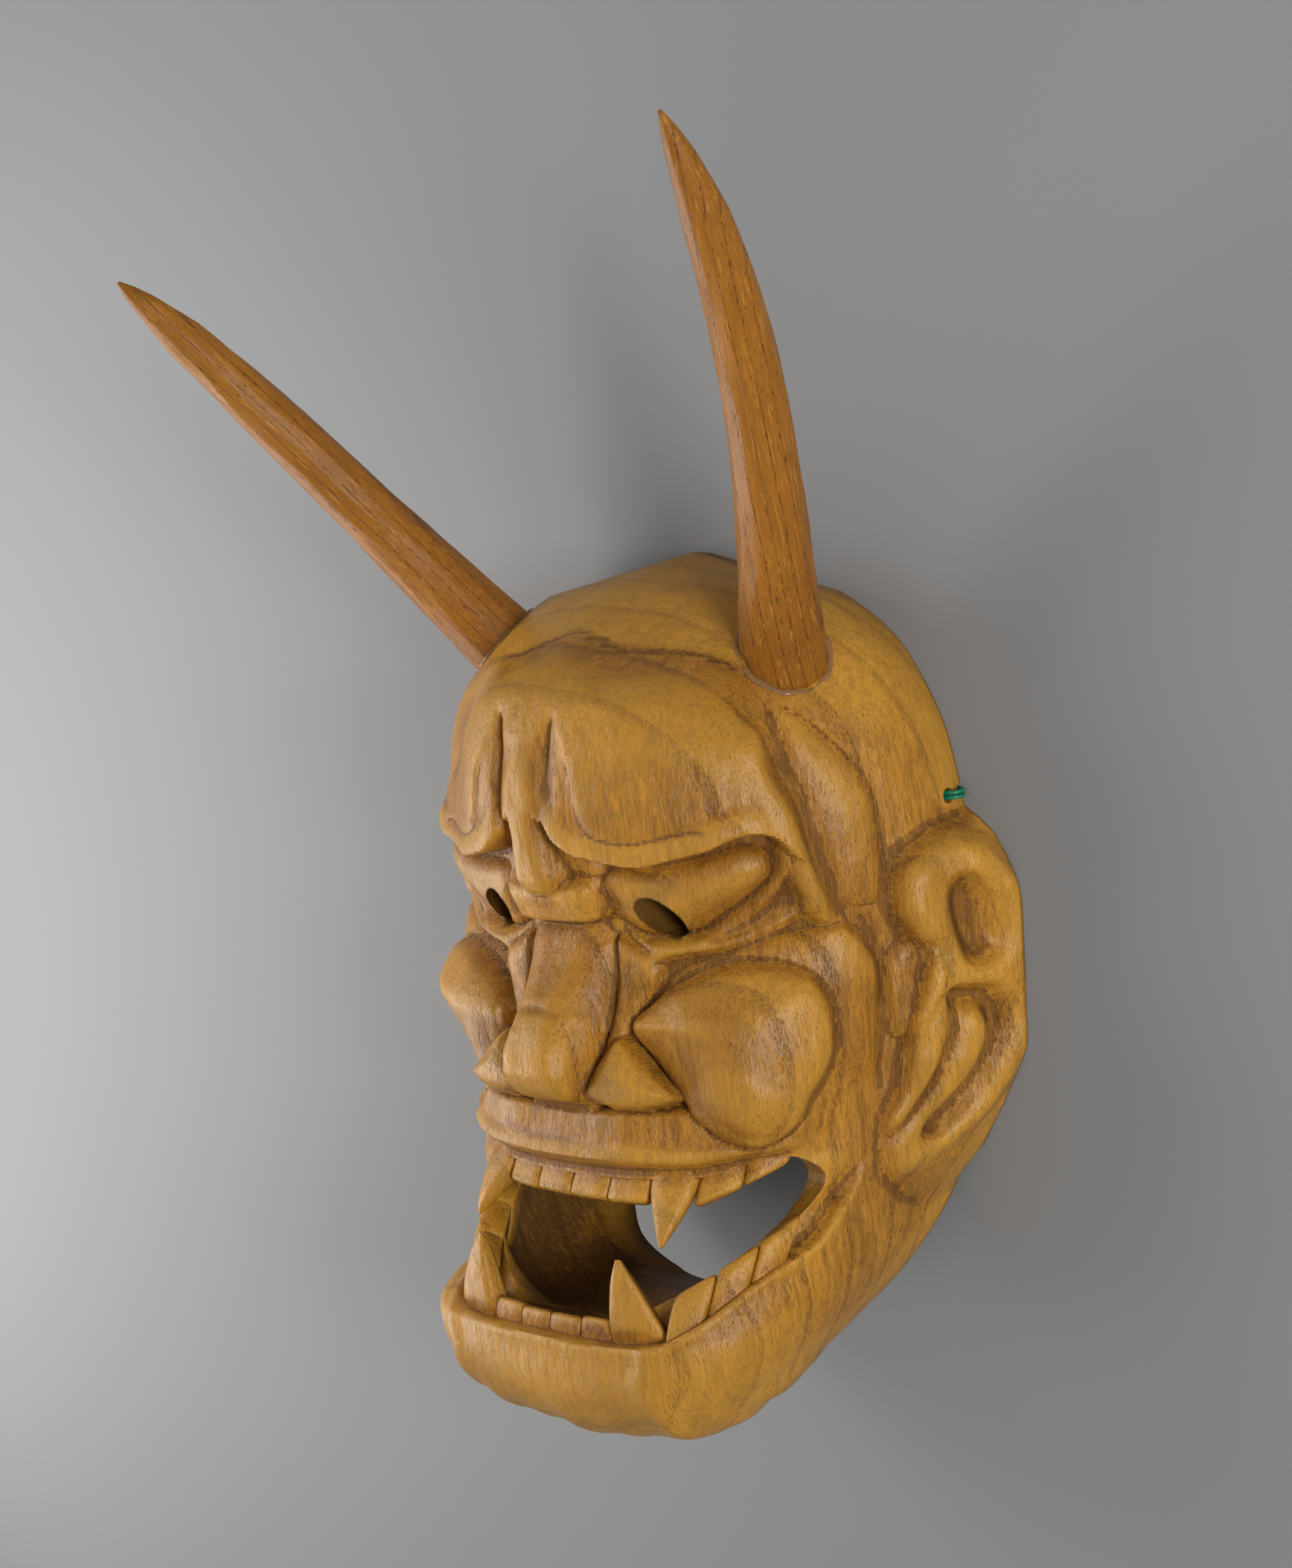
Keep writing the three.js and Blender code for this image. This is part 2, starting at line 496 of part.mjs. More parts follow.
// The carved block, with each height averaged over the facets round it
function block() {
  const levels = ALL_V.map((v) => {
    const fade = step(FIRST, 0.1, v) * step(0.8, 0.7, v);
    return ALL_U.map((u) => v + (levelV(u, v) - v) * fade);
  });
  return stack(levels.map((row, i) => row.map((v, j) => {
    const u = ALL_U[j];
    const spanU = (ALL_U[Math.min(j + 1, ALL_U.length - 1)] - ALL_U[Math.max(j - 1, 0)]) / 5;
    const spanV = (ALL_V[Math.min(i + 1, ALL_V.length - 1)] - ALL_V[Math.max(i - 1, 0)]) / 5;
    let [height, weights] = [0, 0];
    for (const a of [-2, -1, 0, 1, 2]) {
      for (const b of [-2, -1, 0, 1, 2]) {
        const near = read(u + (a / 2) * spanU, v + (b / 2) * spanV);
        const weight = (3 - Math.abs(a)) * (3 - Math.abs(b));
        height += carving(near.s, near.at.y) * weight;
        weights += weight;
      }
    }
    const here = read(u, v);
    return here.at.addScaledVector(here.normal.setZ(Math.abs(u) === 1 ? 0 : here.normal.z).normalize(),
      height / weights);
  })));
}

// What is hollowed out behind the face, open downwards
function hollow() {
  const depth = -30;
  return stack(spread([{ from: FIRST, to: LAST, steps: 20 }]).map((v) => {
    const row = spread([{ from: -1, to: 1, steps: 16 }]).map((u) => loft(u, v, true));
    return [row[0].clone().setZ(depth), ...row, row.at(-1).clone().setZ(depth)];
  }));
}

function mouthOpening() {
  const half = MOUTH.slice(1).reverse().map(([s, low, high]) => [-s, low, high]);
  return stack([...half, ...MOUTH].map(([s, low, high]) => [
    onFace(s, low, 9), onFace(s, high, 9), onFace(s, high, -36), onFace(s, low, -36),
  ]));
}

function eyeHole(side) {
  const ring = (z) => Array.from({ length: 16 }, (_, k) => {
    const turn = (k / 16) * 2 * Math.PI;
    return new THREE.Vector3(
      side * (EYE_HOLE_X + EYE_HOLE_WIDE * Math.cos(turn) - EYE_HOLE_SLANT * Math.sin(turn)),
      EYE_HOLE_Y + EYE_HOLE_HIGH * Math.sin(turn),
      z,
    );
  });
  return stack([ring(40), ring(100)]);
}

// A tooth: rings of s, y, lift, half width and half thickness, square or round in section, that
// rise outwards by lean for each millimetre along s
function tooth(side, squareness, rings, lean = 0) {
  const count = 8;
  const power = 2 / squareness;
  return stack(rings.map(([s, y, lift, wide, thick]) => Array.from({ length: count }, (_, k) => {
    const turn = ((k + 0.5) / count) * 2 * Math.PI;
    const across = wide * Math.sign(Math.cos(turn)) * Math.abs(Math.cos(turn)) ** power;
    const out = thick * Math.sign(Math.sin(turn)) * Math.abs(Math.sin(turn)) ** power;
    return onFace(side * (s + across), y + lean * across, lift + out);
  })));
}

function upperTooth(side, s, wide, bottom, root, lean = 0) {
  return tooth(side, 4, [[s, root, -4.5, wide, 3.6], [s, bottom + 1, -3.4, wide - 0.1, 3.1],
    [s, bottom, -3.3, wide - 1, 2]], lean);
}

function lowerTooth(side, s, wide, top) {
  return tooth(side, 4, [[s, 44, -8, wide, 3.2], [s, top - 0.8, -6.6, wide - 0.1, 2.6],
    [s, top, -6.6, wide - 1.4, 1.6]]);
}

function molar(side, s, top) {
  const lift = side > 0 ? -3.8 : -9.4;
  return tooth(side, 5, [[s, top - 14, lift - 2, 5.4, 4.6], [s, top - 0.8, lift, 5, 3.8],
    [s, top, lift, 3.6, 2.6]], 0.42);
}

function teeth() {
  return [-1, 1].flatMap((side) => [
    upperTooth(side, 6.5, 6.6, 79.4, 89), upperTooth(side, 19.6, 6.6, 79.2, 89),
    upperTooth(side, 46, 6.4, 79.8, 90, 0.25), upperTooth(side, 58.4, 6.2, 83.4, 92, 0.3),
    lowerTooth(side, 5.6, 5.7, 52.4), lowerTooth(side, 16.9, 5.7, 53),
    molar(side, 46, 61), molar(side, 56.4, 65.6), molar(side, 66.8, 70.2),
    tooth(side, 2.6, [[33, 90, -4.5, 7.4, 4.4], [33, 83, -2.8, 6.8, 4.2], [33.4, 77.5, -1.2, 4.7, 3.4],
      [34, 72.5, 0.2, 2.3, 1.9], [34.4, 69, 0.8, 0.5, 0.5]]),
    tooth(side, 3.6, [[32.6, 42, -12, 11.4, 5.8], [31.2, 49, -8, 9.6, 5], [29, 55, -3.8, 6.8, 4.2],
      [26.6, 61, 0.6, 3.6, 2.8], [25, 65.6, 3.8, 0.8, 0.8]]),
  ]);
}

// Horns: a curved middle line from the tip to the skull and the diameter along it
const HORN_LINES = {
  right: [[101, 350.8, 110.6], [94.4, 302.3, 76.1], [72.1, 263, 54.1], [53.6, 215.1, 34.3]],
  left: [[-102.2, 336.8, 108.2], [-91.8, 304.7, 78.5], [-73.1, 260.4, 54.1], [-46.8, 217.3, 31.9]],
};
const HORN_DIAMETER = [[0, 1], [0.03, 4.2], [0.07, 7.2], [0.17, 12], [0.31, 14.2], [0.46, 16.2], [0.61, 17.4],
  [0.78, 19.4], [0.95, 22.8], [1, 23.6]];

function horn(side, gap) {
  const line = new THREE.CubicBezierCurve3(...HORN_LINES[side].map((p) => new THREE.Vector3(...p)));
  const up = new THREE.Vector3(0, 0, 1);
  const shares = [0, 0.03, 0.08, ...spread([{ from: 0.17, to: 1, steps: HORN_RINGS - 3 }]), 1];
  return stack(shares.map((share, k) => {
    const along = line.getTangent(share);
    const middle = line.getPoint(share);
    if (k === shares.length - 1) middle.addScaledVector(along, HORN_TENON + gap);
    const across = along.clone().cross(up).normalize();
    const other = along.clone().cross(across);
    const radius = table(HORN_DIAMETER, share) / 2 + gap;
    return Array.from({ length: HORN_SIDES }, (_, j) => {
      const turn = (j / HORN_SIDES) * 2 * Math.PI + 0.2;
      return middle.clone().addScaledVector(across, radius * Math.cos(turn))
        .addScaledVector(other, radius * Math.sin(turn));
    });
  }));
}

// Cord: two turns round the wood between hole and rim on each side, and a loose run between them

function cordHole(side) {
  const length = 60;
  const hole = new THREE.CylinderGeometry(CORD_HOLE_RADIUS, CORD_HOLE_RADIUS, length, 16);
  hole.rotateZ(Math.PI / 2).translate(side * (CORD_INNER_X + 8), CORD_HOLE_Y, CORD_HOLE_Z);
  const grooveTop = CORD_FLOOR_Z + CORD_DIAMETER / 2 + CORD_GAP;
  const grooveWide = CORD_TURNS * CORD_PITCH + 2 * CORD_GAP;
  const groove = new THREE.BoxGeometry(length, grooveWide, 2 * grooveTop);
  groove.translate(side * (CORD_INNER_X + 8), CORD_HOLE_Y, 0);
  return solidOf(hole).add(solidOf(groove));
}

function winding(side) {
  const outline = (radius) => {
    const middle = CORD_FLOOR_Z + CORD_TURN_RADIUS;
    const path = new THREE.Path();
    path.absarc(CORD_OUTER_X, middle, radius, -Math.PI / 2, Math.PI / 2, false);
    path.absarc(CORD_INNER_X, middle, radius, Math.PI / 2, (3 * Math.PI) / 2, false);
    path.closePath();
    return path;
  };
  const shape = new THREE.Shape(outline(CORD_TURN_RADIUS + CORD_DIAMETER / 2).getPoints(4));
  shape.holes.push(new THREE.Path(outline(CORD_TURN_RADIUS - CORD_DIAMETER / 2).getPoints(4)));
  const wide = CORD_PITCH + CORD_DIAMETER;
  const geometry = new THREE.ExtrudeGeometry(shape, { depth: wide, bevelEnabled: false });
  geometry.rotateX(Math.PI / 2).translate(0, CORD_HOLE_Y + wide / 2, 0);
  if (side < 0) geometry.rotateZ(Math.PI).translate(0, 2 * CORD_HOLE_Y, 0);
  return geometry;
}

const CORD_ROUTE = [[58, 171], [50, 167], [40, 158], [28, 150], [14, 147], [0, 150], [-12, 158], [-24, 166],
  [-36, 171], [-48, 172.6], [-57, 172.3]];

function cordRun() {
  const start = CORD_INNER_X - CORD_TURN_RADIUS - CORD_DIAMETER / 2 - CORD_GAP;
  const flat = [[start, CORD_HOLE_Y], ...CORD_ROUTE, [-start, CORD_HOLE_Y]];
  const route = new THREE.CatmullRomCurve3(flat.map(([x, y]) => new THREE.Vector3(x, y, CORD_FLOOR_Z)));
  const round = new THREE.Path().absarc(0, 0, CORD_DIAMETER / 2, 0, 2 * Math.PI);
  const section = new THREE.Shape(round.getPoints(6).slice(0, 6));
  return new THREE.ExtrudeGeometry(section, { steps: 30, extrudePath: route, bevelEnabled: false });
}

// The sub-parts

const woods = {
  face: { color: 0xa97a3a, roughness: 0.5 },
  horn: { color: 0x9a662a, roughness: 0.48 },
  cord: { color: 0x0d8a5a, roughness: 0.4 },
};

function part(name, geometry, look) {
  const mesh = new THREE.Mesh(geometry, new THREE.MeshStandardMaterial({ ...look, metalness: 0 }));
  mesh.name = name;
  return mesh;
}

let mask = block().subtract(hollow()).subtract(mouthOpening());
for (const side of [-1, 1]) {
  mask = mask.subtract(eyeHole(side)).subtract(cordHole(side));
}
for (const single of teeth()) mask = mask.add(single);
for (const side of ['left', 'right']) mask = mask.subtract(horn(side, GLUE_GAP));

const hannya = new THREE.Group();
hannya.add(part('mask', geometryOf(mask), woods.face));
hannya.add(part('horn_left', geometryOf(horn('left', 0)), woods.horn));
hannya.add(part('horn_right', geometryOf(horn('right', 0)), woods.horn));
hannya.add(part('cord_winding_left', winding(-1), woods.cord));
hannya.add(part('cord_winding_right', winding(1), woods.cord));
hannya.add(part('cord_run', cordRun(), woods.cord));
hannya.position.y = -SHIFT_Y;

export default hannya;
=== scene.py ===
"""A carved wooden hannya mask lying on its back rim, seen from the photograph's side."""

import math

import bpy
import numpy as np
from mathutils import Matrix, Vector
from mathutils.bvhtree import BVHTree


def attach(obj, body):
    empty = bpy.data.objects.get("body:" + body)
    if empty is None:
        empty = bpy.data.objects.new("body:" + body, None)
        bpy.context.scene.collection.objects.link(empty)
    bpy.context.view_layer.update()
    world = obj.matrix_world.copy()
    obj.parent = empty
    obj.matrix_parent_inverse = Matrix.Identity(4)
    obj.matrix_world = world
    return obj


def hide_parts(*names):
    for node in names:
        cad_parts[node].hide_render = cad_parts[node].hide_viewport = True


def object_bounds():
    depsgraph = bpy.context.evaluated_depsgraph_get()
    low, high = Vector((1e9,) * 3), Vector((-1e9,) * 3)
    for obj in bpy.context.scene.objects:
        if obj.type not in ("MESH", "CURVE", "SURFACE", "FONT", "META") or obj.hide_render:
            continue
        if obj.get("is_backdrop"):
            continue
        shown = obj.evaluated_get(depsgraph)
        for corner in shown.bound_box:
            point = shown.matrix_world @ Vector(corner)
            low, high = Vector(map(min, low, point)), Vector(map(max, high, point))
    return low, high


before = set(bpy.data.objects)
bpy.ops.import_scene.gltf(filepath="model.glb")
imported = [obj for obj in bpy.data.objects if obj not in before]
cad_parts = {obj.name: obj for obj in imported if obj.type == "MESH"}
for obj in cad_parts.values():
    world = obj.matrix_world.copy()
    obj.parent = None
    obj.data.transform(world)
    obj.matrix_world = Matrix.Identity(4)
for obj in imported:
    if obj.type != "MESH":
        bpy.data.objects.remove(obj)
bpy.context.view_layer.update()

# Camera. It looks down at the lying mask from its left front and a little above the horns,
# turned as the photographer's was. The focal length was solved from pairs of matching points.

PHOTO_HIGH = 2107
FOCAL_PX = 3337
SENSOR = 36
CAMERA_AT = (0.46281, 0.12867, 0.53775)
CAMERA_TURN = (-17.467, 40.726, -10.514)

camera_data = bpy.data.cameras.new("camera")
camera_data.sensor_fit = "VERTICAL"
camera_data.sensor_height = SENSOR
camera_data.lens = SENSOR * FOCAL_PX / PHOTO_HIGH
camera = bpy.data.objects.new("camera", camera_data)
camera.location = CAMERA_AT
camera.rotation_euler = [math.radians(a) for a in CAMERA_TURN]
bpy.context.collection.objects.link(camera)
bpy.context.scene.camera = camera


def add_mesh(name, points, faces):
    """A new object of these points and faces at the origin."""
    mesh = bpy.data.meshes.new(name)
    mesh.from_pydata(np.asarray(points).tolist(), [], faces)
    mesh.update()
    piece = bpy.data.objects.new(name, mesh)
    bpy.context.collection.objects.link(piece)
    return piece


# Hanging cord. One thin green synthetic cord, two turns round the wood between each hole and the
# rim, threaded through the holes above the ears and lying loose behind the face. Each point of
# the curve has the cord's own radius, so the curve's bounds end where the cord does.

# The drawings are in millimetres with y up from below the chin. SHIFT_Y is the row's origin there.
MM = 0.001
SHIFT_Y = 177.9
CORD_DIAMETER = 0.0012
CORD_HOLE_Y = (172 - SHIFT_Y) * MM
CORD_FLOOR_Z = CORD_DIAMETER / 2 + 0.0002
CORD_TURN_RADIUS = 0.0026
CORD_PITCH = CORD_DIAMETER + 0.00015
CORD_INNER_X = 0.0668
CORD_OUTER_X = 0.0806
CORD_ROUTE = [(58, 171), (50, 167), (40, 158), (28, 150), (14, 147), (0, 150), (-12, 158), (-24, 166),
              (-36, 171), (-48, 172.6), (-57, 172.3)]


def half_turn(x, y_from, y_to, rising, count=9):
    """Points of a half circle about (x, middle height), from bottom to top or top to bottom."""
    share = np.linspace(0, 1, count)
    side = -1 if rising else 1
    angle = np.pi * (share - 0.5) * (1 if rising else -1)
    middle = CORD_FLOOR_Z + CORD_TURN_RADIUS
    return np.stack([x + side * CORD_TURN_RADIUS * np.cos(angle),
                     y_from + (y_to - y_from) * share,
                     middle + CORD_TURN_RADIUS * np.sin(angle)], 1)


def winding():
    """Points of the two turns on the right: from inside the hole out, down, in, and round again."""
    first = CORD_HOLE_Y + CORD_PITCH / 2
    second = CORD_HOLE_Y - CORD_PITCH / 2
    top = CORD_FLOOR_Z + 2 * CORD_TURN_RADIUS
    start = [((CORD_INNER_X + CORD_OUTER_X) / 2, first, top)]
    return np.concatenate([start,
                           half_turn(CORD_OUTER_X, first, first, False),
                           half_turn(CORD_INNER_X, first, second, True),
                           half_turn(CORD_OUTER_X, second, second, False)])


turns = winding()
run = np.array([(x * MM, (y - SHIFT_Y) * MM, CORD_FLOOR_Z) for x, y in CORD_ROUTE])

cord_curve = bpy.data.curves.new("hanging_cord", "CURVE")
cord_curve.dimensions = "3D"
cord_curve.bevel_depth = 1.0     # times each point's radius
cord_curve.bevel_resolution = 4
cord_curve.use_fill_caps = True
cord_line = cord_curve.splines.new("POLY")


def rounded(points, pieces):
    """A smooth curve through the points, with this many pieces between each two."""
    ends = [2 * points[0] - points[1], *points, 2 * points[-1] - points[-2]]
    before, a, b, after = (np.array(ends[k:len(ends) - 3 + k]) for k in range(4))
    f = (np.arange(pieces) / pieces)[None, :, None]
    before, a, b, after = (p[:, None] for p in (before, a, b, after))
    curve = 0.5 * (2 * a + (b - before) * f + (2 * before - 5 * a + 4 * b - after) * f**2
                   + (3 * a - before - 3 * b + after) * f**3)
    return np.concatenate([curve.reshape(-1, points.shape[1]), points[-1:]])


cord_points = np.concatenate([turns, rounded(run, 3), (turns * (-1, 1, 1))[::-1]])
cord_line.points.add(len(cord_points) - 1)
cord_line.points.foreach_set("co", np.c_[cord_points, np.ones(len(cord_points))].ravel())
cord_line.points.foreach_set("radius", np.full(len(cord_points), CORD_DIAMETER / 2))
cord = bpy.data.objects.new("hanging_cord", cord_curve)
bpy.context.collection.objects.link(cord)
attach(cord, "root")
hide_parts("cord_winding_left", "cord_winding_right", "cord_run")


def new_material(name):
    """A material with its node tree and its Principled shader."""
    material = bpy.data.materials.new(name)
    material.use_nodes = True
    tree = material.node_tree
    return material, tree, tree.nodes["Principled BSDF"]


cord_green, tree, shader = new_material("cord_green")
shader.inputs["Base Color"].default_value = (0.004, 0.20, 0.10, 1)
shader.inputs["Roughness"].default_value = 0.32
cord.data.materials.append(cord_green)

# Mask. One block of pale ring-porous wood, carved with knife and gouge and hollowed behind.
# It is drawn in millimetres: a loft of rows from crown to chin, with the carving raised on it
# as a function of s, the way round from the middle line, and y, the way up the face.

WALL = 10

# half width, y and z of the rim, y and z of the middle line, reach of the front and of the side,
# then how far the hollow stands back, in walls: front y, front z, rim y
ROWS = np.array([
    (0, 240, 0, 240, 0, 0, 0, 0, -1.2, 0, -1.2),
    (34, 234, 0, 239, 25, 19, 1, 0.55, -1.2, 0.9, -1.1),
    (62, 218, 0, 231, 47, 33, 1, 0.57, -1.2, 1.1, -1.0),
    (75.5, 197, 0, 216, 66, 42, 1, 0.57, -1.1, 1.1, -0.8),
    (80.5, 176, 0, 194, 78, 46, 1, 0.55, -0.9, 1.2, -0.5),
    (81, 155, 0, 171, 80, 48, 1, 0.55, -0.5, 1.1, -0.3),
    (82, 138, 0, 149, 72, 50, 1, 0.55, -0.2, 1.0, -0.2),
    (81, 120, 0, 128, 72, 50, 1, 0.55, 0, 0.9, 0),
    (78, 101, 0, 106, 80, 50, 1, 0.55, 0.1, 1.0, 0.1),
    (72, 82, 0, 84, 88, 54, 1, 0.6, 0.3, 1.2, 0.3),
    (67, 63, 2, 63, 101, 60, 1, 0.68, 0.7, 1.9, 0.5),
    (62.5, 49, 13, 44, 110, 66, 1, 0.76, 1.3, 2.4, 0.5),
    (55, 36.5, 25, 26, 108, 61, 1.02, 0.76, 1.6, 2.4, 0.65),
    (45, 28, 31, 12, 92, 52, 1.1, 0.7, 2.3, 2.2, 0.75),
    (24, 22, 29, 8.5, 54, 28, 1.2, 0.55, 2.4, 1.0, 0.78),
    (0, 19.5, 26, 19.5, 26, 0, 0, 0, 0.75, 0, 0.75),
], float)


def through(values, share):
    """A smooth curve through evenly spaced values, read at shares of its length."""
    knots = np.concatenate([[2 * values[0] - values[1]], values, [2 * values[-1] - values[-2]]])
    x = np.clip(share, 0, 1) * (len(values) - 1)
    i = np.minimum(x.astype(int), len(values) - 2)
    f = x - i
    a, b, c, d = knots[i], knots[i + 1], knots[i + 2], knots[i + 3]
    return 0.5 * (2 * b + (c - a) * f + (2 * a - 5 * b + 4 * c - d) * f**2 + (3 * b - a - 3 * c + d) * f**3)


def opened(*points):
    """A smooth line through the points, six pieces between each two."""
    return rounded(np.array(points, float), 6)


def closed(*points):
    """A smooth outline through the points, its last joined to its first."""
    ring = np.array([points[-1], *points, points[0], points[1]], float)
    return rounded(ring, 6)[6:-6]


HAIRLINE = opened((0, 226.3), (11, 223.5), (20, 221), (30, 220), (40, 218.5), (50.7, 214.6), (57, 210.5),
                  (61, 207.5))
TEMPLE = opened((57, 213), (61, 207.6), (66, 200.7), (70.8, 190), (76.7, 179), (79.7, 161.3), (78.8, 149.4))
LOBE = closed((62, 206.5), (70, 202), (78, 196), (87, 188), (94.8, 177), (96, 164.5), (90.5, 152),
              (84.5, 150), (79.5, 152), (80.3, 162), (77.5, 178.5), (72, 190), (67, 200))
FACET = opened((0, 214), (15.6, 214.8), (26.6, 209.3), (36.3, 204.7), (46, 200.2), (55.2, 197.5),
               (59.6, 192.9), (63.2, 185), (67, 176.8), (69, 169.4))
BROW = opened((6, 181), (9, 177), (13.9, 173.3), (19, 171.8), (26, 170), (33, 169), (41, 170), (49.3, 171.2),
              (56.2, 173.3), (60.8, 173.8), (65.6, 172.5), (69.8, 168.2))
TERRACE = opened((11, 203), (12, 198.8), (15.5, 193), (17.5, 184), (21.5, 178), (32, 176), (41, 177),
                 (48, 177.2), (52.5, 175.5))
FURROW = opened((9.8, 208), (8.6, 203.7), (7.9, 198), (8.2, 191), (8, 184), (7.4, 178), (5.8, 171),
                (6.3, 165))
EYE = closed((15.5, 158), (17, 152), (22, 148.3), (28, 147), (38.8, 148), (47.7, 152), (57.5, 157),
             (64, 161.8), (65, 166.5), (63.5, 169), (58, 170.4), (50, 169), (40, 167), (30, 166), (22, 166.5),
             (17, 164))
LID = opened((17, 150), (22, 146.6), (30, 145), (39, 146), (48, 149.6), (58, 154.3), (66, 161), (68.5, 167),
             (66.5, 172))
FOLD = opened((16.5, 127), (18.5, 134), (22, 140), (28, 143.2), (35, 144.3), (43, 145.2), (54, 147.6),
              (66, 151), (78, 155))
CHEEK = closed((27, 133), (35, 139.2), (46.6, 142), (59.3, 145.3), (71.7, 146), (78.6, 145.3), (82.7, 139.3),
               (85, 132), (84.6, 121), (85.4, 108.4), (80.5, 103), (77.5, 98.3), (67.7, 88.5), (57, 87.5),
               (47, 90), (38, 97), (31, 107), (25, 120))
BALL = closed((20.6, 122.6), (27, 131), (39, 138), (51, 140.3), (59.5, 139), (67, 134), (70.7, 123.6),
              (71.3, 112), (67.5, 103), (63, 94.8), (55.5, 90.7), (46.8, 93.4), (37.5, 100.4), (27.5, 113))
WING = closed((9.2, 104.6), (11.4, 109.5), (14.4, 114.8), (18, 119.3), (22.5, 117), (27.5, 111.8),
              (32.5, 107.4), (35, 104.6), (30, 102.6), (23, 101.8), (16, 102.4))
STRIP = closed((15.6, 147), (20, 145.6), (25, 142.8), (27.5, 138.6), (24.5, 131.5), (20.6, 123.6),
               (18.3, 118.6), (14.4, 111.6), (10.8, 104.6), (12.8, 113), (13.9, 124), (14.6, 136))
UPPER_LIP = opened((0, 87.2), (22, 87), (39, 87), (50, 88.1), (64, 88.7), (70, 86), (76, 80))
LOWER_LIP = opened((0, 46.1), (18.4, 46.1), (36, 46.8), (42, 48.2), (54, 54), (61, 58), (70.6, 61.2),
                   (79.5, 63.5), (83, 67.5), (86.5, 74.3), (88.5, 80.3))
CHIN_EDGE = opened((38, 50), (37.2, 47), (36.4, 42.3), (34.5, 35.6), (37, 28), (38, 20))
EAR = closed((124, 166), (112, 165.5), (101, 161), (94.5, 153), (92, 146), (94, 139), (97, 134), (95, 126),
             (93, 117), (93, 108), (93, 98), (90, 90), (92, 82), (97, 75), (106, 69), (116, 64), (140, 60),
             (140, 166))
HELIX = opened((97, 140), (96.5, 147), (99.5, 154.5), (106, 160.5), (115, 161.5), (121, 155), (124, 146),
               (125, 132), (125, 118), (124, 104), (119, 92), (111, 83), (102, 78))
UPPER_BOWL = closed((104, 147), (109, 153), (115, 153.5), (120, 148), (121, 138), (119, 129), (112, 126),
                    (105.5, 129), (103, 138))
LOWER_BOWL = opened((106, 121), (113, 118), (117, 111), (116, 102), (112, 94), (106, 87))
INNER_CUT = opened((103, 122), (104, 113), (102, 103), (98, 94), (93, 86))
TRAGUS = closed((87, 133), (92, 138), (99, 135), (100, 127), (97, 119), (93, 112), (89, 114), (86.5, 123))
EAR_GROOVE = opened((83, 146), (85.5, 138), (85, 126), (86, 112), (88, 100))
# y, share of the ear's full height
EAR_RISE = ((58, 0), (62, 0.1), (75, 0.5), (87, 0.78), (104, 1), (147, 1), (154, 0.93), (160, 0.74),
            (165, 0.42), (169, 0))

NOSE_TOP = ((102, 6), (103, 13), (105, 18), (108, 21.5), (113, 23.4), (118, 23), (124, 21.5), (132, 18.5),
            (140, 13.5), (146, 9), (151, 5), (152.6, 2), (153.6, -3))
NOSE_FRONT = ((102, 8.5), (108, 8.6), (113, 7.4), (120, 5.6), (132, 4.8), (142, 5.8), (153, 8.6))
NOSE_SIDE = ((102, 10.4), (108, 11.4), (116, 13), (124, 14), (136, 14.8), (146, 14.8), (153, 12.4))
NOSE_FOOT = ((102, 6), (108, 9), (118, 8.5), (132, 5.5), (146, 2.5), (153, 0))
FROWN_TOP = ((160.5, -4), (162, 3.5), (164.5, 6.8), (168, 8), (173, 7.4), (178, 7.4), (186, 7.6), (196, 7.2),
             (204, 6.4), (210, 4), (215, 0))
FROWN_HALF = ((160.5, 4.4), (163, 6.2), (167, 6.9), (172, 5.8), (178, 5.2), (186, 5.6), (196, 6.6), (204, 8),
              (215, 10))
SHELF_DEEP = ((0, 5), (20, 7), (28, 8), (40, 7), (60, 5), (90, 3.5))

# s, lower edge, upper edge
MOUTH = ((0, 50, 84.5), (12, 51, 84.5), (24, 53.5, 84.5), (30, 56, 84.5), (38, 59, 84.5), (44, 60.5, 85),
         (50, 61.8, 86.5), (55, 63.6, 87.5), (60, 65.3, 87.8), (65, 67, 86.8), (69, 68.6, 85),
         (73, 70.4, 82.6), (76, 73, 80), (77.4, 75.3, 77.5))


def table(pairs, x):
    """Straight lines between pairs of x and value, read at x."""
    return np.interp(x, *np.array(pairs, float).T)


def step(low, high, x):
    """0 up to low, 1 from high, and a smooth rise between."""
    t = np.clip((x - low) / (high - low), 0, 1)
    return t * t * (3 - 2 * t)


def bump(x, width):
    """A bell of height 1 at x = 0: e to the minus (x / width) squared."""
    return np.exp(-(x / width)**2)


def smooth_max(a, b, k):
    """The larger of two, rounded where they meet: half of a + b + root of (a - b)^2 + k^2."""
    return 0.5 * (a + b + np.sqrt((a - b)**2 + k * k))


def pillow(distance, height, reach):
    """A quarter-round rise from an edge: height times the root of 1 - (1 - q) squared."""
    q = np.clip(distance / reach, 0, 1)
    return height * np.sqrt(1 - (1 - q)**2)


def beside(s, y, line):
    """Distance to a line, positive on its left, and the share of its run at the nearest point."""
    best = np.full(s.shape, np.inf)
    side = np.ones(s.shape)
    share = np.zeros(s.shape)
    for k, (start, end) in enumerate(zip(line, line[1:])):
        dx, dy = end - start
        t = np.clip(((s - start[0]) * dx + (y - start[1]) * dy) / (dx * dx + dy * dy), 0, 1)
        away = (s - start[0] - t * dx)**2 + (y - start[1] - t * dy)**2
        nearer = away < best
        best = np.where(nearer, away, best)
        side = np.where(nearer, np.sign(dx * (y - start[1]) - dy * (s - start[0])), side)
        share = np.where(nearer, (k + t) / (len(line) - 1), share)
    return np.sqrt(best) * side, share


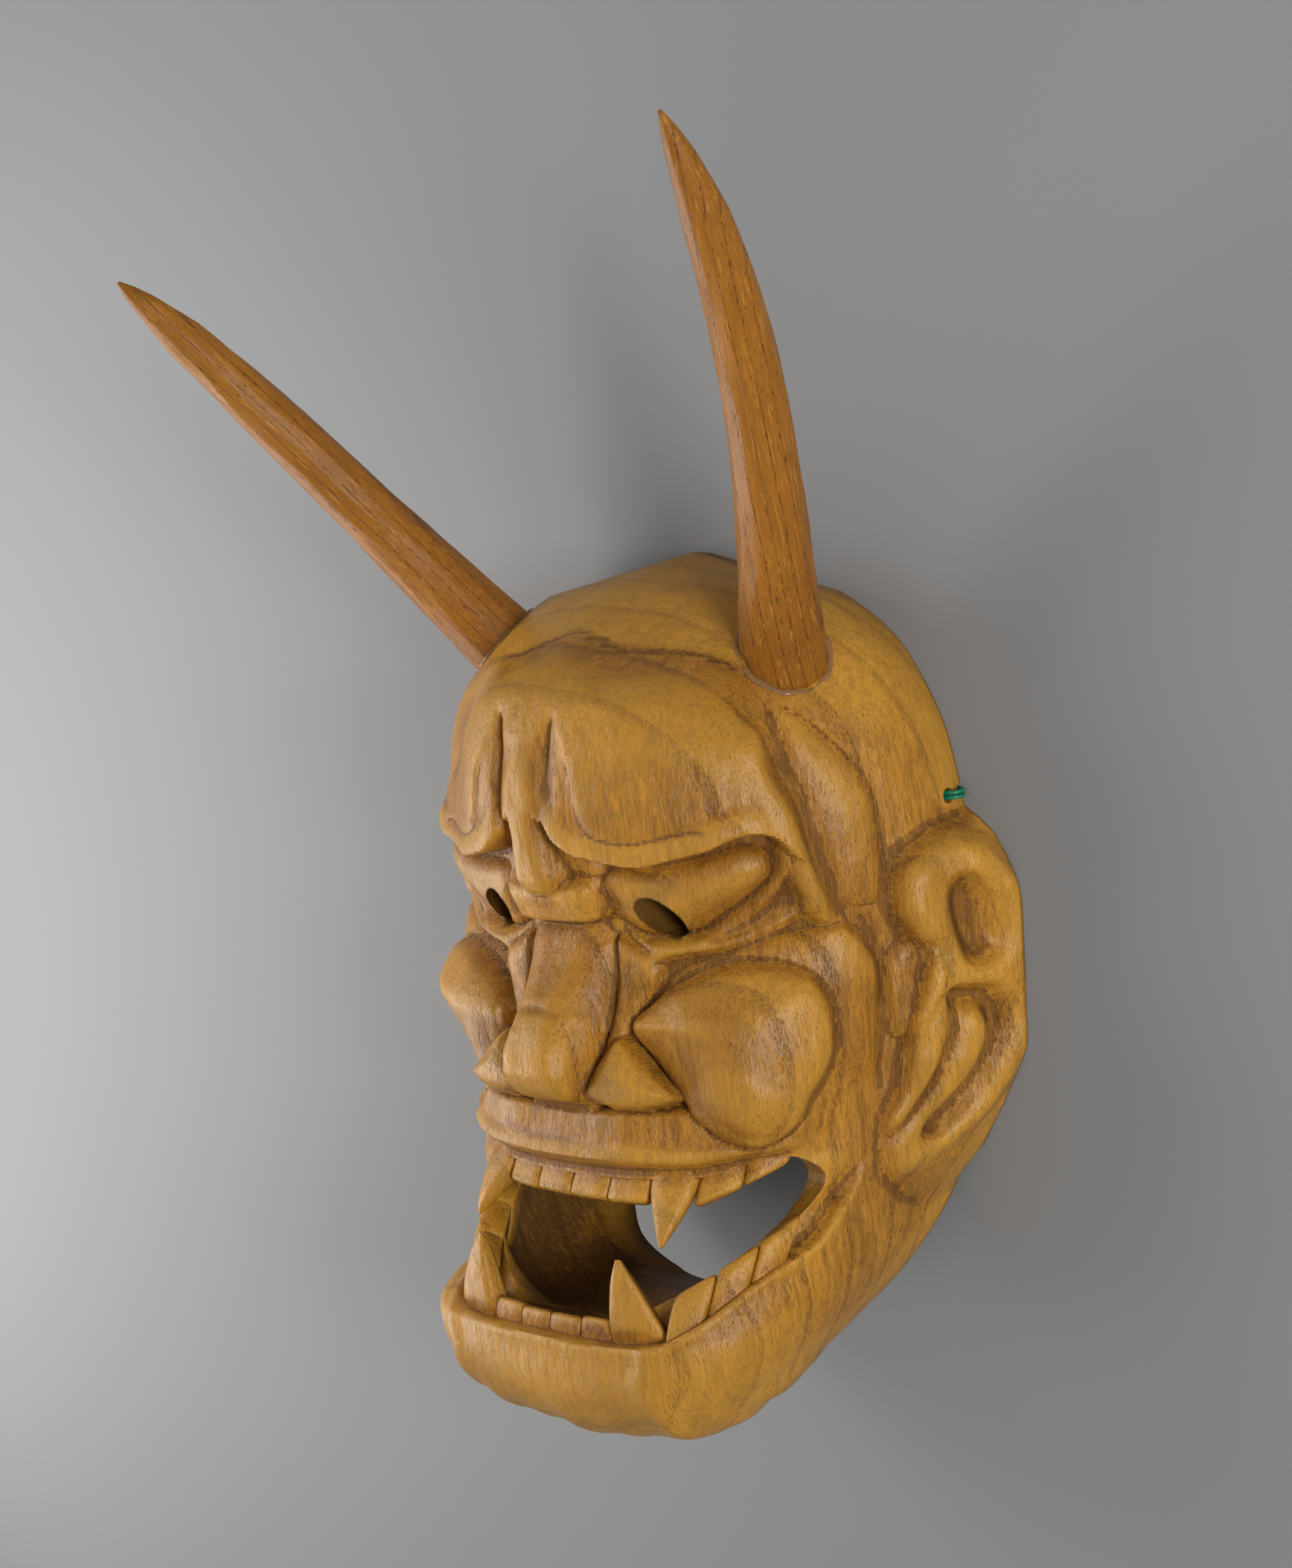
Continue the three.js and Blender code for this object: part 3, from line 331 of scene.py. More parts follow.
def within(s, y, outline):
    """Distance to a closed outline, positive inside."""
    inside = np.zeros(s.shape, bool)
    for start, end in zip(outline, outline[1:]):
        crosses = (start[1] > y) != (end[1] > y)
        slope = (end[0] - start[0]) / (end[1] - start[1] + 1e-12)
        inside ^= crosses & (s < start[0] + (y - start[1]) * slope)
    return np.abs(beside(s, y, outline)[0]) * np.where(inside, 1, -1)


def forehead(s, y, brow, left):
    """A raised field between hairline, temple and brow, lower on the left, with one facet's edge."""
    hair = -beside(s, y, HAIRLINE)[0]
    temple = -beside(s, y, TEMPLE)[0]
    facet = -beside(s, y, FACET)[0]
    above = np.maximum(np.maximum(step(-0.6, 1.0, brow), step(66, 76, s)), step(162, 190, y) * step(14, 6, s))
    full = 6.5 - left * step(14, 44, s) * (5 + 3 * step(172, 195, y))
    mass = full * step(-1, 14, hair) * step(0, 8, temple) * step(140, 156, y)
    edge = 0.9 * step(-0.6, 1.2, hair) * step(0, 3, temple) * step(180, 200, y) * step(66, 60, s)
    return mass * above + edge + 0.7 * step(0, 4, facet) * above * step(72, 62, s)


def brow_roll(s, y, brow):
    """A roll along the brow line, and over it a terrace cut with a fine groove."""
    roll = 1.7 * step(-0.5, 1.6, brow) * (1 - step(2.5, 9, brow)) * step(5, 9, s) * step(70, 56, s)
    terrace, share = beside(s, y, TERRACE)
    ends = step(0, 0.12, share) * step(1, 0.9, share)
    band = step(0.7, -0.5, terrace) * step(-13, -8, terrace) * ends
    return roll - 1.1 * band - 0.5 * bump(terrace - 0.5, 0.8) * ends


def frown(s, y, d, left):
    """Two furrows cut down beside the middle, a ridge between them and a bar under it."""
    furrow, share = beside(s, y, FURROW)
    ends = step(0, 0.2, share) * step(1, 0.93, share)
    deep = (1.0 + 3.0 * left) * (left + (1 - left) * step(0.45, 0.3, share))
    d = d - (deep * bump(furrow, 0.9) + 1.1 * bump(furrow, 2.6)) * ends
    d = smooth_max(d, table(FROWN_TOP, y) - 4 * (s / table(FROWN_HALF, y))**4, 1.2)
    return smooth_max(d, 6.4 - 6 * ((s / 16.5)**6 + ((y - 159.5) / 6.3)**6), 0.8)


def eye(s, y, brow, d):
    """The eyeball's pillow in its sunk socket, with the lid's and the lower fold's ridges."""
    ball = within(s, y, EYE)
    socket = step(1.5, -0.6, brow) * step(14, 19, s) * step(72, 64, s) * step(143, 149, y)
    lid, share = beside(s, y, LID)
    d = d + pillow(ball, 4.3, 12) - 1.1 * bump(ball, 0.8) * step(16, 20, s) - 2.2 * socket
    d = d + 1.7 * bump(lid, 1.4) * step(0, 0.1, share) * step(1, 0.92, share)
    fold, share = beside(s, y, FOLD)
    band = 2.6 * bump(fold, 2.6) + 0.8 * step(1, -1, fold) * bump(fold, 7)
    return d + band * step(0, 0.2, share) * step(1, 0.8, share)


def cheek(s, y, left):
    """A broad crisp-edged field with a ball pillowed on it, and a fill beside the nose."""
    ball = within(s, y, BALL)
    rise = 1.1 * step(-0.2, 1.2, ball) * step(70, 40, s)
    full = 1 - 0.95 * left * step(128, 98, y) * step(28, 50, s)
    side = within(s, y, CHEEK)
    crisp = step(112, 142, y)
    mass = 6.5 * (crisp * pillow(side, 1, 19) + (1 - crisp) * step(-5, 17, side)) + pillow(ball, 9.5, 24)
    fill = 6.0 * np.exp(-((s - 19.5) / 9)**2 - ((y - 120) / 20)**2)
    return mass * full + fill + rise - 0.45 * bump(ball, 0.7) * step(24, 40, s)


def upper_lip(s, y):
    """A band above the lip line, thinner to the side, with a soft roll along it."""
    lip = beside(s, y, UPPER_LIP)[0]
    band = step(-0.6, 1.6, lip) * step(103.5, 100, y) * step(74, 52, s) * step(3, -2, within(s, y, BALL))
    return (5.4 - 2.2 * step(20, 50, s)) * band + 0.8 * bump(lip - 3, 2.6) * band


def nose(s, y, d):
    """Each is raised over what is there: the flank's strip, the wing, and a bridge that falls
    to its foot as 1 - share of the way across to the power 1.7."""
    foot = table(NOSE_FOOT, y)
    side = table(NOSE_SIDE, y)
    strip = within(s, y, STRIP)
    d = np.where(strip > 0, smooth_max(d, 0.85 * foot + pillow(strip, 2.2, 4), 0.8), d)
    wing = within(s, y, WING)
    wing_top = np.where(wing > 0, 7.5, -9) + pillow(wing, 7, 9)
    d = np.where(wing > -3, smooth_max(d, wing_top, 0.8), d)
    front = table(NOSE_FRONT, y)
    across = 1 - np.clip((s - front + 2) / (side - front + 2), 0, 1)**1.7
    bridge = foot + (table(NOSE_TOP, y) - foot) * across
    d = np.where((s < side) & (y > 101.5) & (y < 153.6), np.maximum(d, bridge), d)
    return d - 0.8 * bump(s - side - 0.3, 0.9) * step(102, 106, y) * step(150, 146, y)


def jaw(s, y, signed_s):
    """The shelf that the lower teeth stand on, its rim, the chin's edge and a wavy lower edge."""
    lip = beside(s, y, LOWER_LIP)[0]
    shelf = table(SHELF_DEEP, s) * step(0, 1.6, lip) * step(84, 70, y) * step(92, 84, s)
    rim = 0.8 * bump(lip + 1.2, 1.6) * step(84, 72, y)
    edge = 1.6 * bump(beside(s, y, CHIN_EDGE)[0], 3.5) * step(14, 22, y) * step(52, 47, y)
    wavy = np.sin(0.19 * signed_s + 0.4) + 0.6 * np.sin(0.41 * signed_s)
    cut_back = np.where(signed_s < 0, 7.5, 0) * step(14, 34, s) * step(42, 54, y) * step(88, 70, y)
    return rim + edge - shelf - cut_back + 0.5 * wavy * step(32, 20, y) * step(4, 12, y)


def ear(s, y):
    """A pillow that grows outwards, with a rolled rim and a knob, less its two bowls and cuts."""
    rise = pillow(within(s, y, EAR), 1, 7) * (7.5 + 5.2 * step(95, 124, s)) * table(EAR_RISE, y)
    bowls = 7.5 * step(-1, 8, within(s, y, UPPER_BOWL))
    bowls = bowls + 6 * bump(beside(s, y, LOWER_BOWL)[0], 3.6) * step(126, 120, y)
    cuts = 2.2 * bump(beside(s, y, INNER_CUT)[0], 2.4) + 1.2 * bump(beside(s, y, EAR_GROOVE)[0], 1.6)
    return rise + 1.6 * bump(beside(s, y, HELIX)[0], 4.5) + pillow(within(s, y, TRAGUS), 3, 6) - bowls - cuts


def carving(signed_s, y):
    """Height of the carving over the loft. The left side was cut back further than the right."""
    s = np.abs(signed_s)
    left = np.where(signed_s < 0, 1.0, 0.0)
    brow = beside(s, y, BROW)[0]
    d = frown(s, y, forehead(s, y, brow, left) + brow_roll(s, y, brow), left)
    d = eye(s, y, brow, d) + cheek(s, y, left) + upper_lip(s, y)
    d = nose(s, y, d) + jaw(s, y, signed_s) + ear(s, y)
    return d + pillow(within(s, y, LOBE), 2.2, 12)


def loft(u, v, hollow=False):
    """Points of the rows: cubic curves from rim (u = 1) to middle line (u = 0), v from crown to chin."""
    row = [through(ROWS[:, k], v) for k in range(ROWS.shape[1])]
    half, rim_y, rim_z, front_y, front_z, flat, reach, lift, back_y, back_z, back_rim = row
    back = WALL if hollow else 0
    width = np.maximum(half - back * np.minimum(1, half / 30), 0)
    flat = flat * width / np.maximum(half, 1e-6)
    rim_y, front_y, front_z = rim_y + back_rim * back, front_y + back_y * back, front_z - back_z * back
    rim_z = np.maximum(rim_z, 0)
    a = np.abs(u)
    b0, b1, b2, b3 = (1 - a)**3, 3 * (1 - a)**2 * a, 3 * (1 - a) * a * a, a**3
    x = np.sign(u) * (b1 * flat + b2 * reach * width + b3 * width)
    y = (b0 + b1) * front_y + b2 * 0.5 * (front_y + rim_y) + b3 * rim_y
    z = (b0 + b1) * front_z + b2 * (rim_z + lift * (front_z - rim_z)) + b3 * rim_z
    return np.stack(np.broadcast_arrays(x, y, z), -1)


def arcs(points):
    """Signed length along each row from its middle."""
    length = np.linalg.norm(np.diff(points, axis=1), axis=2)
    run_out = np.concatenate([np.zeros((len(points), 1)), np.cumsum(length, 1)], 1)
    return run_out - run_out[:, [points.shape[1] // 2]]


def outward(points, v, u):
    """Unit normals of a net, level at the rim."""
    normal = np.cross(np.gradient(points, v, axis=0), np.gradient(points, u, axis=1))
    normal[:, [0, -1], 2] = 0
    return normal / np.linalg.norm(normal, axis=2, keepdims=True)


FIRST, LAST = 0.008, 0.99
NET_U = np.linspace(-1, 1, 161)
NET_V = np.linspace(FIRST, LAST, 241)
net = loft(NET_U[None], NET_V[:, None])
net_normal = outward(net, NET_V, NET_U)
net_s = arcs(net)


def read(values, u, v):
    """Values of the net between its knots."""
    i = np.clip((v - FIRST) / (NET_V[1] - NET_V[0]), 0, len(NET_V) - 1.001)
    j = np.clip((u + 1) / (NET_U[1] - NET_U[0]), 0, len(NET_U) - 1.001)
    i0, j0 = i.astype(int), j.astype(int)
    a, b = i - i0, j - j0
    if values.ndim == 3:
        a, b = a[..., None], b[..., None]
    near = values[i0, j0] * (1 - b) + values[i0, j0 + 1] * b
    far = values[i0 + 1, j0] * (1 - b) + values[i0 + 1, j0 + 1] * b
    return near * (1 - a) + far * a


def on_face(s, y, lift):
    """The point of the loft at (s, y), lifted off it: Newton steps on u and v."""
    s, y, lift = np.broadcast_arrays(np.asarray(s, float), y, lift)
    u = np.clip(s / 110, -0.95, 0.95)
    v = 0.05 + 0.8 * (1 - y / 240)
    height = net[..., 1]
    for _ in range(25):
        ds, dy = s - read(net_s, u, v), y - read(height, u, v)
        su = (read(net_s, u + 0.01, v) - read(net_s, u - 0.01, v)) / 0.02
        sv = (read(net_s, u, v + 0.005) - read(net_s, u, v - 0.005)) / 0.01
        yu = (read(height, u + 0.01, v) - read(height, u - 0.01, v)) / 0.02
        yv = (read(height, u, v + 0.005) - read(height, u, v - 0.005)) / 0.01
        turn = su * yv - sv * yu
        u = np.clip(u + 0.7 * (ds * yv - sv * dy) / turn, -0.98, 0.98)
        v = np.clip(v + 0.7 * (su * dy - yu * ds) / turn, FIRST + 0.006, LAST - 0.006)
    return read(net, u, v) + read(net_normal, u, v) * lift[..., None]


def stack(name, rings):
    """A closed piece of rings of equal length, given in millimetres, each end closed to its middle."""
    rings = np.asarray(rings, float)
    rows, count, _ = rings.shape
    points = np.concatenate([rings.reshape(-1, 3), rings[[0, -1]].mean(1)])
    here = np.arange(rows * count).reshape(rows, count)
    right = np.roll(here, -1, 1)
    quads = np.stack([here[:-1], right[:-1], right[1:], here[1:]], -1).reshape(-1, 4)
    first = np.stack([np.full(count, rows * count), right[0], here[0]], -1)
    last = np.stack([np.full(count, rows * count + 1), here[-1], right[-1]], -1)
    corners = points - points.mean(0)
    a, b, c, d = (corners[quads[:, k]] for k in range(4))
    swept = np.einsum("ij,ij->", a, np.cross(b, c) + np.cross(c, d))
    for cap in (first, last):
        a, b, c = (corners[cap[:, k]] for k in range(3))
        swept += np.einsum("ij,ij->", a, np.cross(b, c))
    faces = quads.tolist() + first.tolist() + last.tolist()
    if swept < 0:
        faces = [face[::-1] for face in faces]
    return add_mesh(name, (points - (0, SHIFT_Y, 0)) * MM, faces)


def spread(*bands):
    """Values along bands of (from, to, spacing)."""
    parts = [np.linspace(a, b, max(round(abs(b - a) / gap), 1), endpoint=False) for a, b, gap in bands]
    return np.concatenate([*parts, [bands[-1][1]]])


columns = spread((0, 75, 0.85), (75, 122, 1.1))
half_u = np.unique(np.append(np.interp(columns, read(net_s, NET_U, np.full(161, 0.42)), NET_U), 1))
all_u = np.concatenate([-half_u[:0:-1], half_u])
middle_v = np.linspace(FIRST, 0.88, 2000)
heights = spread((236, 186, 1.4), (186, 143, 0.75), (143, 84, 0.8), (84, 58, 1.1), (58, 44, 0.75),
                 (44, 12, 1.8))
all_v = np.unique(np.concatenate([[FIRST],
                                  np.interp(-heights, -read(net[..., 1], np.zeros(2000), middle_v), middle_v),
                                  [0.905, 0.925, 0.945, 0.965, LAST]]))
surface = loft(all_u[None], all_v[:, None])
surface_s = arcs(surface)
height = carving(surface_s, surface[..., 1])
mask = stack("mask_carved", surface + outward(surface, all_v, all_u) * height[..., None])

# Cutters: the hollow behind, the mouth, the eye holes, the cord's holes and grooves

EYE_HOLE = (30, 152.8, 5.4, 6.3, 1.5)
CORD_HOLE_RADIUS = 2.1
CORD_GAP = 0.3


def ring_about(count):
    """Angles evenly round a circle."""
    return np.arange(count) * 2 * np.pi / count


hollow_u = np.linspace(-1, 1, 61)
hollow_v = np.linspace(FIRST, LAST, 81)
hollow_rows = loft(hollow_u[None], hollow_v[:, None], hollow=True)
hollow_foot = hollow_rows[:, [0, -1]] * (1, 1, 0) - (0, 0, 30)
hollow = stack("cut_hollow", np.concatenate([hollow_foot[:, :1], hollow_rows, hollow_foot[:, 1:]], 1))

mouth_s = np.interp(np.linspace(0, 13, 53), np.arange(14), [row[0] for row in MOUTH])
mouth_s = np.concatenate([-mouth_s[:0:-1], mouth_s])
mouth_low = table([row[:2] for row in MOUTH], np.abs(mouth_s))
mouth_high = table([(row[0], row[2]) for row in MOUTH], np.abs(mouth_s))
mouth_walls = [np.linspace(mouth_low, mouth_high, 5), np.linspace(mouth_high, mouth_low, 5)]
mouth = stack("cut_mouth", np.concatenate([on_face(mouth_s, mouth_walls[0], 9),
                                           on_face(mouth_s, mouth_walls[1], -36)]).swapaxes(0, 1))
cutters = [hollow, mouth]
for side in (-1, 1):
    turn = ring_about(28)
    x, y, wide, high, slant = EYE_HOLE
    outline = np.stack([side * (x + wide * np.cos(turn) - slant * np.sin(turn)), y + high * np.sin(turn)], 1)
    cutters.append(stack("cut_eye", [np.c_[outline, np.full(28, z)] for z in (40, 100)]))
    hole_z = (CORD_FLOOR_Z + 2 * CORD_TURN_RADIUS) / MM
    hole_y = CORD_HOLE_Y / MM + SHIFT_Y
    hole = [(hole_y + CORD_HOLE_RADIUS * np.cos(a), hole_z + CORD_HOLE_RADIUS * np.sin(a)) for a in turn]
    cutters.append(stack("cut_hole", [[(side * x, *p) for p in hole] for x in (45, 105)]))
    wide = CORD_PITCH / MM + CORD_GAP
    top = (CORD_FLOOR_Z + CORD_DIAMETER / 2) / MM + CORD_GAP
    groove = [(hole_y - wide, -top), (hole_y + wide, -top), (hole_y + wide, top), (hole_y - wide, top)]
    cutters.append(stack("cut_groove", [[(side * x, *p) for p in groove] for x in (45, 105)]))


def tooth(side, squareness, rings, lean=0.0):
    """A tooth of rings of s, y, lift, half width and half thickness, square or round in section.

    Its rings rise outwards by lean for each millimetre along s.
    """
    share = np.linspace(0, 1, 6 * (len(rings) - 1) + 1)
    s, y, lift, wide, thick = (through(np.array(rings, float)[:, k], share)[:, None] for k in range(5))
    turn = ring_about(28)[None]
    power = 2 / squareness
    across = np.sign(np.cos(turn)) * np.abs(np.cos(turn))**power
    out = np.sign(np.sin(turn)) * np.abs(np.sin(turn))**power
    return stack("tooth", on_face(side * (s + wide * across), y + lean * wide * across, lift + thick * out))


def upper_tooth(side, s, wide, bottom, root, lean=0.0):
    """A square tooth from its root down to its bottom edge, which is chamfered."""
    return tooth(side, 4, [(s, root, -4.5, wide, 3.6), (s, bottom + 5, -4, wide, 3.5),
                           (s, bottom + 1, -3.4, wide - 0.1, 3.1), (s, bottom, -3.3, wide - 1, 2)], lean)


def lower_tooth(side, s, wide, top):
    """A square tooth up to its top edge, which is chamfered."""
    return tooth(side, 4, [(s, 44, -8, wide, 3.2), (s, top - 3.5, -7, wide, 3),
                           (s, top - 0.8, -6.6, wide - 0.1, 2.6), (s, top, -6.6, wide - 1.4, 1.6)])


def molar(side, s, top):
    """A wide square tooth, set further back on the left, rising outwards."""
    lift = -3.8 if side > 0 else -9.4
    return tooth(side, 5, [(s, top - 14, lift - 2, 5.4, 4.6), (s, top - 4, lift - 0.2, 5.3, 4.4),
                           (s, top - 0.8, lift, 5, 3.8), (s, top, lift, 3.6, 2.6)], 0.42)


teeth = []
for side in (-1, 1):
    teeth += [upper_tooth(side, 6.5, 6.6, 79.4, 89), upper_tooth(side, 19.6, 6.6, 79.2, 89),
              upper_tooth(side, 46, 6.4, 79.8, 90, 0.25), upper_tooth(side, 58.4, 6.2, 83.4, 92, 0.3),
              lower_tooth(side, 5.6, 5.7, 52.4), lower_tooth(side, 16.9, 5.7, 53),
              molar(side, 46, 61), molar(side, 56.4, 65.6), molar(side, 66.8, 70.2),
              tooth(side, 2.6, [(33, 90, -4.5, 7.4, 4.4), (33, 83, -2.8, 6.8, 4.2),
                                (33.4, 77.5, -1.2, 4.7, 3.4), (34, 72.5, 0.2, 2.3, 1.9),
                                (34.4, 69, 0.8, 0.5, 0.5)]),
              tooth(side, 3.6, [(32.6, 42, -12, 11.4, 5.8), (31.2, 49, -8, 9.6, 5), (29, 55, -3.8, 6.8, 4.2),
                                (26.6, 61, 0.6, 3.6, 2.8), (25, 65.6, 3.8, 0.8, 0.8)])]

for kind, tools in (("DIFFERENCE", cutters), ("UNION", teeth)):
    for tool in tools:
        cut = mask.modifiers.new("carve", "BOOLEAN")
        cut.operation = kind
        cut.object = tool
        cut.solver = "MANIFOLD"
carved = bpy.data.meshes.new_from_object(mask.evaluated_get(bpy.context.evaluated_depsgraph_get()))
mask.modifiers.clear()
mask.data = carved
for tool in cutters + teeth:
    bpy.data.objects.remove(tool)
carved.shade_smooth()
carved.set_sharp_from_angle(angle=math.radians(50))
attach(mask, "root")
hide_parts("mask")


def crease(mesh, rounds):
    """How far each vertex lies under its smoothed surface, in millimetres: positive in a crease."""
    count = len(mesh.vertices)
    place = np.empty(count * 3)
    normal = np.empty(count * 3)
    edge = np.empty(len(mesh.edges) * 2, int)
    mesh.vertices.foreach_get("co", place)
    mesh.vertices.foreach_get("normal", normal)
    mesh.edges.foreach_get("vertices", edge)
    place, normal = place.reshape(-1, 3), normal.reshape(-1, 3)
    a, b = edge.reshape(-1, 2).T
    share = np.maximum(np.bincount(a, minlength=count) + np.bincount(b, minlength=count), 1)
    smooth = place
    for _ in range(rounds):
        total = [np.bincount(a, smooth[b, k], count) + np.bincount(b, smooth[a, k], count) for k in range(3)]
        smooth = np.stack(total, 1) / share[:, None]
    return ((smooth - place) * normal).sum(1) / MM


for name, rounds, gain in (("crease_fine", 6, 4.0), ("crease_wide", 60, 0.7)):
    values = np.clip(0.5 + gain * 0.5 * crease(carved, rounds), 0, 1)
    carved.attributes.new(name, "FLOAT", "POINT").data.foreach_set("value", values)

# Painted shade: a mark that is 1 on the walls of the eye holes and on the underside, which the light
# hardly reaches; there the wood is painted near-black
count = len(carved.vertices)
place = np.empty(count * 3)
normal = np.empty(count * 3)
carved.vertices.foreach_get("co", place)
carved.vertices.foreach_get("normal", normal)
x, y, z = place.reshape(-1, 3).T / MM
eye_x, eye_y, wide, high, slant = EYE_HOLE
up = (y + SHIFT_Y - eye_y) / high
out = (np.abs(x) - eye_x + slant * up) / wide
hole_and_underside_shade = np.maximum((np.hypot(out, up) < 1.03) * (z > 30), np.clip(-2 * normal[2::3], 0, 1))
carved.attributes.new("hole_and_underside_shade", "FLOAT", "POINT").data.foreach_set("value", hole_and_underside_shade.astype(float))

# The wood of the face. Both woods are ring-porous, with curved bands of dark open pores and fine
# fibres along the board. The creases are painted darker, partly for dirt and torn fibres and partly
# as painted shade; the ridges are painted paler, partly for wear and partly as a painted highlight;
# and the surface has the soft shine of handled wood.


def node(tree, kind, inputs=(), **settings):
    """A shader node with its settings, its inputs linked or set by name."""
    made = tree.nodes.new("ShaderNode" + kind)
    for name, value in settings.items():
        setattr(made, name, value)
    for name, value in dict(inputs).items():
        if isinstance(value, bpy.types.NodeSocket):
            tree.links.new(value, made.inputs[name])
        else:
            made.inputs[name].default_value = value
    return made


def math_node(tree, operation, *values):
    """One sum of values or sockets."""
    return node(tree, "Math", enumerate(values), operation=operation).outputs[0]


def ramp(tree, value, low, high):
    """0 at low, 1 at high, smooth between, and the other way round where low is the higher."""
    made = node(tree, "MapRange", {"Value": value, "From Min": low, "From Max": high})
    made.interpolation_type = "SMOOTHSTEP"
    return made.outputs[0]


def noise(tree, vector, scale, stretch=(1, 1, 1), detail=2.0, rough=0.5, distort=0.0):
    """Noise from 0 to 1 on a place stretched along each axis."""
    place = node(tree, "VectorMath", {0: vector, 1: stretch}, operation="MULTIPLY").outputs[0]
    return node(tree, "TexNoise", {"Vector": place, "Scale": scale, "Detail": detail, "Roughness": rough,
                                   "Distortion": distort}).outputs["Fac"]


def mix(tree, fac, a, b):
    """Colour a at fac 0, colour b at fac 1."""
    made = node(tree, "Mix", data_type="RGBA")
    for index, value in ((0, fac), (6, a), (7, b)):
        if isinstance(value, bpy.types.NodeSocket):
            tree.links.new(value, made.inputs[index])
        else:
            made.inputs[index].default_value = value if index == 0 else (*value, 1)
    return made.outputs[2]


def new_group(name, inputs, outputs):
    """A node group with its named inputs and outputs, and its two end nodes."""
    group = bpy.data.node_groups.new(name, "ShaderNodeTree")
    for title, kind, value in inputs:
        socket = group.interface.new_socket(title, in_out="INPUT", socket_type="NodeSocket" + kind)
        if value is not None:
            socket.default_value = value
    for title, kind in outputs:
        group.interface.new_socket(title, in_out="OUTPUT", socket_type="NodeSocket" + kind)
    return group, group.nodes.new("NodeGroupInput"), group.nodes.new("NodeGroupOutput")


# Rings are cylinders round the pith, which runs along Y at the given place, pushed about by noise.
grain, given, gives = new_group(
    "wood_grain",
    [("Place", "Vector", None), ("Pith", "Vector", (0, 0, 0)), ("Ring Spacing", "Float", 0.01),
     ("Wander", "Float", 0.006)],
    [("Band", "Float"), ("Season", "Float"), ("Fibre", "Float"), ("Pores", "Float"), ("Cloud", "Float")])
place = given.outputs["Place"]
off = node(grain, "VectorMath", {0: place, 1: given.outputs["Pith"]}, operation="SUBTRACT").outputs[0]
flat_off = node(grain, "VectorMath", {0: off, 1: (1, 0, 1)}, operation="MULTIPLY").outputs[0]
radius = node(grain, "VectorMath", {0: flat_off}, operation="LENGTH").outputs["Value"]
slow = math_node(grain, "SUBTRACT", noise(grain, place, 1, (16, 9, 16), 1.5), 0.5)
quick = math_node(grain, "SUBTRACT", noise(grain, place, 1, (160, 30, 160), 2.0), 0.5)
pushed = math_node(grain, "MULTIPLY_ADD", slow, given.outputs["Wander"], radius)
pushed = math_node(grain, "MULTIPLY_ADD", quick, 0.0012, pushed)
ring = math_node(grain, "DIVIDE", pushed, given.outputs["Ring Spacing"])
season = math_node(grain, "FRACT", ring)
early = math_node(grain, "MULTIPLY", ramp(grain, season, 0.0, 0.035), ramp(grain, season, 0.22, 0.06))
fibre = noise(grain, place, 1, (1500, 55, 1500), 3.0, 0.6)
fine = noise(grain, place, 1, (3200, 260, 3200), 2.0, 0.6)
open_pores = math_node(grain, "MULTIPLY_ADD", early, 0.14, noise(grain, place, 1, (2300, 420, 2300), 1.0))
pores = ramp(grain, open_pores, 0.66, 0.76)
cloud = noise(grain, place, 1, (30, 14, 30), 3.0, 0.55)
fibres = math_node(grain, "MULTIPLY_ADD", fine, 0.4, math_node(grain, "MULTIPLY", fibre, 0.6))
for title, value in (("Band", early), ("Season", season), ("Fibre", fibres), ("Pores", pores),
                     ("Cloud", cloud)):
    grain.links.new(value, gives.inputs[title])


def use_grain(tree, place, pith, spacing, wander):
    """The outputs of the wood's grain at a place, with these rings."""
    made = tree.nodes.new("ShaderNodeGroup")
    made.node_tree = grain
    tree.links.new(place, made.inputs["Place"])
    made.inputs["Pith"].default_value = pith
    made.inputs["Ring Spacing"].default_value = spacing
    made.inputs["Wander"].default_value = wander
    return made.outputs


FIBRE_BROWN = (0.13, 0.05, 0.008)

face_wood, tree, shader = new_material("face_wood")
place = node(tree, "TexCoord").outputs["Object"]
wood = use_grain(tree, place, (0.012, 0, -0.1), 0.0145, 0.012)
fine_crease = node(tree, "Attribute", attribute_name="crease_fine").outputs["Fac"]
wide_crease = node(tree, "Attribute", attribute_name="crease_wide").outputs["Fac"]
base = mix(tree, ramp(tree, wood["Cloud"], 0.34, 0.66), (0.37, 0.151, 0.015), (0.55, 0.246, 0.025))
stain = noise(tree, place, 1, (75, 32, 75), 6.0, 0.68, 0.6)
base = mix(tree, ramp(tree, stain, 0.54, 0.40), base, mix(tree, 0.3, base, (0.18, 0.066, 0.008)))
base = mix(tree, math_node(tree, "MULTIPLY", wood["Season"], 0.3), base, (0.55, 0.255, 0.032))
base = mix(tree, math_node(tree, "MULTIPLY", wood["Band"], 0.3), base, (0.24, 0.090, 0.012))
base = mix(tree, ramp(tree, wood["Fibre"], 0.38, 0.60), mix(tree, 0.44, base, FIBRE_BROWN), base)
streaks = noise(tree, place, 1, (420, 30, 420), 4.0, 0.62)
base = mix(tree, ramp(tree, streaks, 0.52, 0.38), base, mix(tree, 0.36, base, FIBRE_BROWN))
base = mix(tree, math_node(tree, "MULTIPLY", wood["Pores"], 0.5), base, (0.10, 0.038, 0.008))
ragged = noise(tree, place, 1, (700, 130, 700), 3.0, 0.6)
narrow = math_node(tree, "MULTIPLY_ADD", ragged, 0.7, fine_crease)
deep = math_node(tree, "MULTIPLY_ADD", ragged, 0.9, wide_crease)
